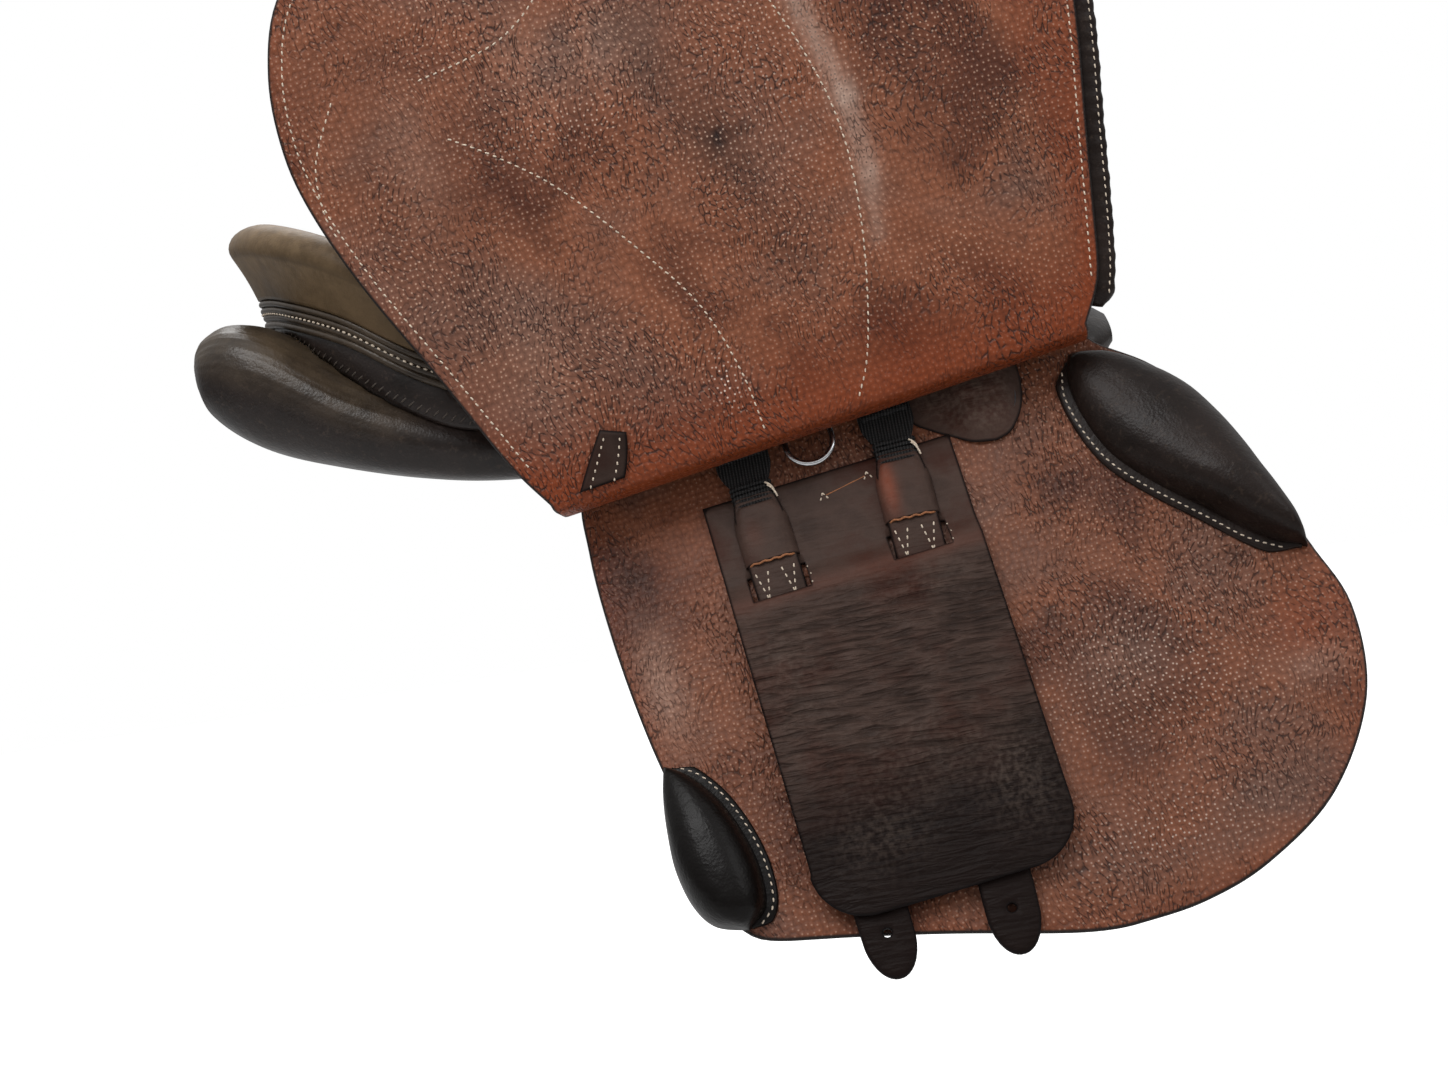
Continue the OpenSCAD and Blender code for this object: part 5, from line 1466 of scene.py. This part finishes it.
class SADDLE_OT_panels(bpy.types.Operator):
    """Panels: stuffed calf cushions that bear on the horse's back"""
    bl_idname = "saddle.panels"
    bl_label = "Panels"

    def execute(self, context):
        steps, around = 150, 72
        s = np.linspace(0, 1, steps)
        c = along(PANEL_RUNS, s)
        a = np.linspace(0, 2 * np.pi, around, endpoint=False)
        ca, sa = np.cos(a), np.sin(a)
        p = c[:, 3:4] * (np.sign(ca) * np.abs(ca) ** 0.78)[None]
        q = c[:, 4:5] * (np.sign(sa) * np.abs(sa) ** 0.78)[None]
        slope = np.radians(c[:, 5:6])
        # pleats gather the leather below the welt at the rear
        rear = np.clip((-190 - c[:, 0:1]) / 40, 0, 1)
        pleat = sizes().pleat_depth * rear * np.clip(sa, 0, 1)[None] ** 0.5 * (0.5 - 0.5 * np.cos(a * 30))[None]
        shrink = 1 - np.maximum(pleat, 0) / np.maximum(np.hypot(p, q), 6)
        p, q = p * shrink, q * shrink
        y = CHANNEL + c[:, 1:2] + p * np.cos(slope) + q * np.sin(slope)
        z = c[:, 2:3] - p * np.sin(slope) + q * np.cos(slope)
        x = np.broadcast_to(c[:, 0:1], y.shape)
        grid = np.dstack([x, y, z])
        middle = c[:, :3] + (0, CHANNEL, 0)
        mesh = capped(grid, middle[0] - (0.5, 0, 0), middle[-1] + (0.5, 0, 0))
        # paler olive on the upper side at the rear: partly the leather's colour, partly painted highlight
        tone = np.concatenate([0.5 * (rear * np.clip(sa, 0, 1)[None] ** 0.7).ravel(), [0, 0]])
        for side, near in both_sides():
            self.gusset(side, near, mesh)
            obj = piece("panel_leather_" + side, (mesh[0] * (1, -1, 1), mesh[1]), glazed_calf(), "saddle", LEVEL, near,
                        {"tone": tone}, ("panel_" + side,))
            outward(obj)
            # piped seam along the outer side, low on the cushion
            seam = 50
            line = grid[8:-6, seam] * (1, -1, 1)
            out = (grid[8:-6, seam] - grid[8:-6].mean(1)) * (1, -1, 1)
            out /= np.linalg.norm(out, axis=1)[:, None]
            piping = tube(line + out * 0.6, 1.7, 8)
            obj = piece("panel_seam_" + side, piping, glazed_calf(), "saddle", LEVEL, near, None)
            outward(obj)
        return {"FINISHED"}

    def gusset(self, side, near, panel):
        """Calf wall from the lowest welt down to the panel, laced to it by hand."""
        tree = search_tree(panel)
        top, foot = [], []
        for p in welt_line(np.linspace(0.03, WELT_END, 120), 16.5, 6.0):
            hit = tree.ray_cast(Vector(p), Vector((0, 0, -1)))[0]
            if hit is not None and p[2] - hit.z > 2:
                top.append(p)
                foot.append(tuple(hit + Vector((0, 0, 0.9))))
        c = np.linspace(0, 1, 9)
        grid = between(np.array(top), np.array(foot), c) * (1, -1, 1)
        normals = grid_normals(grid)
        if normals[..., 1].mean() > 0:
            normals = -normals
        grid = grid + normals * (1.6 * np.sin(np.pi * c))[None, :, None]
        mesh = thicken(grid.reshape(-1, 3), grid_faces(*grid.shape[:2]), normals.reshape(-1, 3), 1.4)
        obj = piece("panel_gusset_" + side, mesh, glazed_calf(), "saddle", LEVEL, near, None)
        outward(obj)
        low = 6
        line = evenly(grid[:, low] + normals[:, low] * 0.7, int(run_length(grid[:, low]) / 5))
        out = evenly(normals[:, low], len(line))
        piece("panel_lacing_" + side, stitches(line, out, 6.5, 1.2, 62), dark_thread(), "saddle", LEVEL, near)


def to_side(point):
    x, y, z = point
    return (np.array([x, -y, z], float) - SIDE[1]) @ SIDE[0]


SEAM_REAR = to_side((-64, 99.4, waist_rim(-60, 0) + 8))
SEAM_FRONT = to_side((132, 63.4, waist_rim(120, 0) + 10))


class SADDLE_OT_skirts(bpy.types.Operator):
    """Skirts: small leathers over the stirrup bars, hung on the seat's seam"""
    bl_idname = "saddle.skirts"
    bl_label = "Skirts"

    def execute(self, context):
        steps, rows = 70, 34
        t = finer_edges(steps - 6, 0.006)
        grid = np.zeros((len(t), rows, 3))
        across = np.concatenate([np.linspace(0, 0.95, rows - 3), [0.975, 0.99, 1.0]])
        for i, share in enumerate(t):
            seam = SEAM_REAR + (SEAM_FRONT - SEAM_REAR) * share
            u = -98 + 202 * share
            over = np.array([u, 27, 25.7])
            hem = np.array([u, seam[1] - 56 - 4 * share, 28.5])
            line = [seam, seam + (over - seam) * 0.55 + (0, 2, 4), over, hem]
            depth = 0.42 + 0.58 * max(1 - abs(2 * share - 1) ** 3.2, 0) ** 0.6
            grid[i] = along(line, depth * across)
        grid += np.array([0, 0.8, 1.84])
        flat = np.dstack([grid[..., 0], np.cumsum(np.concatenate(
            [np.zeros((len(t), 1)), np.linalg.norm(np.diff(grid, axis=1), axis=2)], 1), 1)]).reshape(-1, 2)
        shape = flat.reshape(len(t), rows, 2)
        outline = np.concatenate([shape[:, -1], shape[-1, ::-1], shape[::-1, 0], shape[0]])
        edge = edge_distance(flat, outline)
        normals = grid_normals(grid).reshape(-1, 3)
        down = normals[:, 2].mean() < 0
        mesh = thicken(grid.reshape(-1, 3), grid_faces(len(t), rows, flip=down), -normals if down else normals,
                       rounded(SKIRT_THICK, edge, 2.0))
        line = grid[5:-5:4, -5]
        line = evenly(line, int(run_length(line) / sizes().stitch_step))
        tree = search_tree(mesh)
        for side, near in both_sides():
            body = "skirt_" + side
            obj = piece("skirt_leather_" + side, mesh, cowhide(), body, SIDE, near,
                        {"edge": edge, "tone": 0.15 + 0.2 * np.exp(-(edge / 8) ** 2)},
                        ("skirt_" + side,))
            hits = [tree.find_nearest(Vector(p) + Vector((0, -4, 12))) for p in line]
            spots, ns = (np.array([tuple(hit[k]) for hit in hits]) for k in (0, 1))
            piece("skirt_stitching_" + side, stitches(spots, ns), brown_thread(), body, SIDE, near)
        return {"FINISHED"}


LINING = [(-220.4, 115.26), (-194.98, 108.3), (-169.57, 101.37), (-144.15, 95.2), (-118.73, 91.14), (-93.32, 89.19),
          (-67.9, 88.8), (-42.48, 88.79), (-17.07, 89.3), (8.35, 90.59), (33.77, 92.45), (59.18, 94.53), (84.6, 97.15)]
ARCH_OUTER = [(102.58, 65.63), (87.6, 95.32), (66, 86.03), (44, 95.03), (22, 103.03), (0, 106.03)]
ARCH_INNER = [(94.49, 63.83), (83.59, 85.42), (60, 82.03), (40, 87.03), (20, 90.03), (0, 91.03)]


class SADDLE_OT_underside(bpy.types.Operator):
    """Pommel facing, channel lining and seat webs"""
    bl_idname = "saddle.underside"
    bl_label = "Pommel and underside"

    def execute(self, context):
        self.strip("channel_lining_leather", y=0, half=25, lift=-1.1, thick=2.2, skin=strap_leather(),
                   slot="panel_leather", node="channel_lining")
        webs = [self.strip("seat_web_" + side, y, half=11, lift=2.95, thick=1.4, skin=webbing(), slot="nylon_web")
                for side, y in (("right", -14), ("left", 14))]
        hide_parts("seat_webbing")
        self.facing()
        return {"FINISHED"}

    def strip(self, name, y, half, lift, thick, skin, slot, node=None):
        """Flat strip along the seat's middle, on the line of the channel."""
        rows = 90
        line = evenly(LINING, rows)
        cols = finer_edges(14, 0.02) * 2 - 1
        size = rows, len(cols)
        grid = np.dstack([np.broadcast_to(line[:, :1], size), np.broadcast_to(y + half * cols, size),
                          line[:, 1:] + lift + 0.15 * np.sin(line[:, :1] / 9) * (1 - cols ** 2)])
        run = run_length(line)
        flat = np.column_stack([np.repeat(np.linspace(0, run, rows), len(cols)), np.tile(half * cols, rows)])
        edge = edge_distance(flat, np.array([(0, -half), (run, -half), (run, half), (0, half)], float))
        mesh = thicken(grid.reshape(-1, 3), grid_faces(*size, flip=True), upward(grid), rounded(thick, edge, thick / 2))
        obj = piece(name, mesh, skin, "saddle", LEVEL, False, {"edge": edge, "fold": np.full(len(edge), 0.1)},
                    (node,) if node else ())
        outward(obj)
        return obj

    def facing(self):
        """Leather over a thin pad on the front of the arch."""
        outer = np.concatenate([np.array(ARCH_OUTER) * (-1, 1), np.array(ARCH_OUTER)[-2::-1]])
        inner = np.concatenate([np.array(ARCH_INNER) * (-1, 1), np.array(ARCH_INNER)[-2::-1]])
        steps, front = 140, 165
        s = np.linspace(0, 1, steps)
        out, into = along(outer, s), along(inner, s)
        a = np.linspace(0, 2 * np.pi, 28, endpoint=False)
        ca, sa = np.sign(np.cos(a)) * np.abs(np.cos(a)) ** 0.7, np.sign(np.sin(a)) * np.abs(np.sin(a)) ** 0.6
        half = (out - into) / 2
        yz = ((out + into) / 2)[:, None] + half[:, None] * ca[None, :, None]
        end = np.clip(np.minimum(s, 1 - s) / 0.012, 0.3, 1)
        x = front + 4.9 * end[:, None] * sa[None, :]
        grid = np.dstack([x, yz])
        mesh = capped(grid, grid[0].mean(0), grid[-1].mean(0))
        size = len(mesh[0])
        obj = piece("pommel_facing_leather", mesh, cowhide(), "saddle", LEVEL, False,
                    {"edge": np.full(size, 9.0), "tone": np.full(size, 0.15)}, ("pommel_facing",))
        outward(obj)
        for sign in (1, -1):
            spots = np.column_stack([np.full(steps, front + 4.5), (out + into) / 2 + half * 0.62 * sign])
            spots = evenly(spots[6:-6:4], 44)
            n = np.broadcast_to([1.0, 0.0, 0.0], spots.shape)
            row_name = "pommel_facing_stitching_" + ("outer" if sign > 0 else "inner")
            piece(row_name, stitches(spots, n), brown_thread(), "saddle", LEVEL)


class SADDLE_OT_metal(bpy.types.Operator):
    """Finishes of the tree, the stirrup bars and the nails"""
    bl_idname = "saddle.metal"
    bl_label = "Tree and metal finishes"

    def execute(self, context):
        black = material("forged_black_steel", black_steel)
        beech = material("laminated_beech", laminated_beech)
        dressing = {
            "tree_plate": beech, "tree_rail_left": beech, "tree_rail_right": beech, "head_arch": black,
            "tree_point_left": black, "tree_point_right": black, "web_nails": steel(), "bar_rivets": steel(),
            "stirrup_bar_left": steel(), "stirrup_bar_right": steel(), "bar_catch_left": steel(),
            "bar_catch_right": steel()}
        for node, mat in dressing.items():
            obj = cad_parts[node]
            for solid in (obj if isinstance(obj, (list, tuple)) else [obj]):
                solid.data.materials.clear()
                solid.data.materials.append(mat)
        return {"FINISHED"}


class SADDLE_OT_stage(bpy.types.Operator):
    """Floor, soft studio light and the camera"""
    bl_idname = "saddle.stage"
    bl_label = "Stage"

    def execute(self, context):
        scene = context.scene
        scene.view_settings.view_transform = "Standard"
        self.floor()
        world = bpy.data.worlds.new("studio")
        scene.world = world
        world.use_nodes = True
        tree = world.node_tree
        tree.nodes.clear()
        rays = add(tree, "ShaderNodeLightPath")
        way = add(tree, "ShaderNodeTexCoord")["Generated"]
        high = add(tree, "ShaderNodeSeparateXYZ", {"Vector": way})["Z"]
        # mirrored in metal, wax and glass, the room is white above and dims towards the floor
        room = add(tree, RANGE, {"Value": high, "From Min": -0.1, "From Max": 0.7, "To Min": 0.15, "To Max": 1.0})[0]
        shine = add(tree, "ShaderNodeMath", {0: rays["Is Glossy Ray"], 1: rays["Is Transmission Ray"]},
                    operation="MAXIMUM")[0]
        glow = add(tree, RANGE, {"Value": shine, "To Min": 0.5, "To Max": room})[0]
        glow = add(tree, RANGE, {"Value": rays["Is Camera Ray"], "To Min": glow, "To Max": 1.0})[0]
        back = add(tree, "ShaderNodeBackground", {"Color": (1, 1, 1), "Strength": glow})[0]
        add(tree, "ShaderNodeOutputWorld", {"Surface": back})
        self.lamp("key", at=(-0.6, -1.2, 1.9), to=(0.0, -0.1, 0.0), power=30)
        self.lamp("fill", at=(1.6, -1.2, 1.2), to=(0.0, 0.0, 0.0), power=8)
        self.lamp("back", at=(-0.3, 1.6, 1.7), to=(0.0, 0.0, 0.1), power=14)
        self.camera(scene)
        return {"FINISHED"}

    def floor(self):
        """White board, 8 m square, that glows to the camera alone."""
        n, level = 24, -0.62
        x = np.linspace(-4, 4, n)
        grid = np.dstack([*np.meshgrid(x, x), np.full((n, n), level)]).reshape(-1, 3)
        data = bpy.data.meshes.new("floor")
        data.from_pydata(grid.tolist(), [], grid_faces(n, n))
        mat, tree, spot = finish("matt_white_board")
        rays = add(tree, "ShaderNodeLightPath")
        glow = add(tree, "ShaderNodeMath", {0: rays["Is Camera Ray"], 1: 0.75}, operation="MULTIPLY")[0]
        # faint felt of the board, 6 mm across
        felt = add(tree, NOISE, {"Vector": spot, "Scale": 160.0, "Detail": 3.0})[0]
        felt = stepped(tree, felt, (0.3, 0.86), (0.7, 0.9))
        data.materials.append(surfaced(mat, {"Base Color": felt, "Roughness": 0.8, "Emission Color": (1, 1, 1),
                                             "Emission Strength": glow}))
        floor = bpy.data.objects.new("floor", data)
        bpy.context.scene.collection.objects.link(floor)

    def lamp(self, name, at, to, power, size=1.4):
        """Round soft lamp, placed and aimed in metres."""
        data = bpy.data.lights.new(name, "AREA")
        data.shape = "DISK"
        data.size = size
        data.energy = power
        lamp = bpy.data.objects.new(name, data)
        lamp.location = at
        lamp.rotation_euler = (Vector(to) - Vector(at)).to_track_quat("-Z", "Y").to_euler()
        bpy.context.scene.collection.objects.link(lamp)

    def camera(self, scene):
        """Camera of the picture: a little above level, and tilted."""
        data = bpy.data.cameras.new("camera")
        data.sensor_fit = "HORIZONTAL"
        data.sensor_width = 36
        data.lens = 56.56
        camera = bpy.data.objects.new("camera", data)
        above, tilt = math.radians(5), math.radians(9)
        right = np.array([1.0, 0, 0])
        ahead = np.array([0, math.cos(above), -math.sin(above)])
        up = np.array([0, math.sin(above), math.cos(above)])
        x = math.cos(tilt) * right - math.sin(tilt) * up
        y = math.sin(tilt) * right + math.cos(tilt) * up
        pose = np.eye(4)
        pose[:3, 0], pose[:3, 1], pose[:3, 2] = x, y, -ahead
        pose[:3, 3] = (-0.0358, -1.4355, 0.0895)
        camera.matrix_world = Matrix(pose.tolist())
        scene.collection.objects.link(camera)
        scene.camera = camera


OPERATORS = (SADDLE_OT_flaps, SADDLE_OT_flap_trim, SADDLE_OT_sweat_flaps, SADDLE_OT_blocks, SADDLE_OT_girthing,
             SADDLE_OT_seat, SADDLE_OT_panels, SADDLE_OT_skirts, SADDLE_OT_underside, SADDLE_OT_metal,
             SADDLE_OT_stage)


class SADDLE_PT_panel(bpy.types.Panel):
    """Builds the saddle's pieces from the sidebar"""
    bl_idname = "SADDLE_PT_panel"
    bl_label = "Jumping saddle"
    bl_space_type = "VIEW_3D"
    bl_region_type = "UI"
    bl_category = "Saddle"

    def draw(self, context):
        layout = self.layout
        for group in (context.scene.saddle_sizes, context.scene.saddle_colours):
            box = layout.box()
            for key in group.bl_rna.properties.keys():
                if key not in ("rna_type", "name"):
                    box.prop(group, key)
        for op in OPERATORS:
            layout.operator(op.bl_idname)


CLASSES = (SaddleSizes, SaddleColours, *OPERATORS, SADDLE_PT_panel)


def register():
    for cls in CLASSES:
        bpy.utils.register_class(cls)
    bpy.types.Scene.saddle_sizes = bpy.props.PointerProperty(type=SaddleSizes)
    bpy.types.Scene.saddle_colours = bpy.props.PointerProperty(type=SaddleColours)


def unregister():
    del bpy.types.Scene.saddle_sizes
    del bpy.types.Scene.saddle_colours
    for cls in reversed(CLASSES):
        bpy.utils.unregister_class(cls)


def main():
    register()
    for build in (bpy.ops.saddle.flaps, bpy.ops.saddle.flap_trim, bpy.ops.saddle.sweat_flaps, bpy.ops.saddle.blocks,
                  bpy.ops.saddle.girthing, bpy.ops.saddle.seat, bpy.ops.saddle.panels, bpy.ops.saddle.skirts,
                  bpy.ops.saddle.underside, bpy.ops.saddle.metal, bpy.ops.saddle.stage):
        build()


if __name__ == "__main__":
    main()
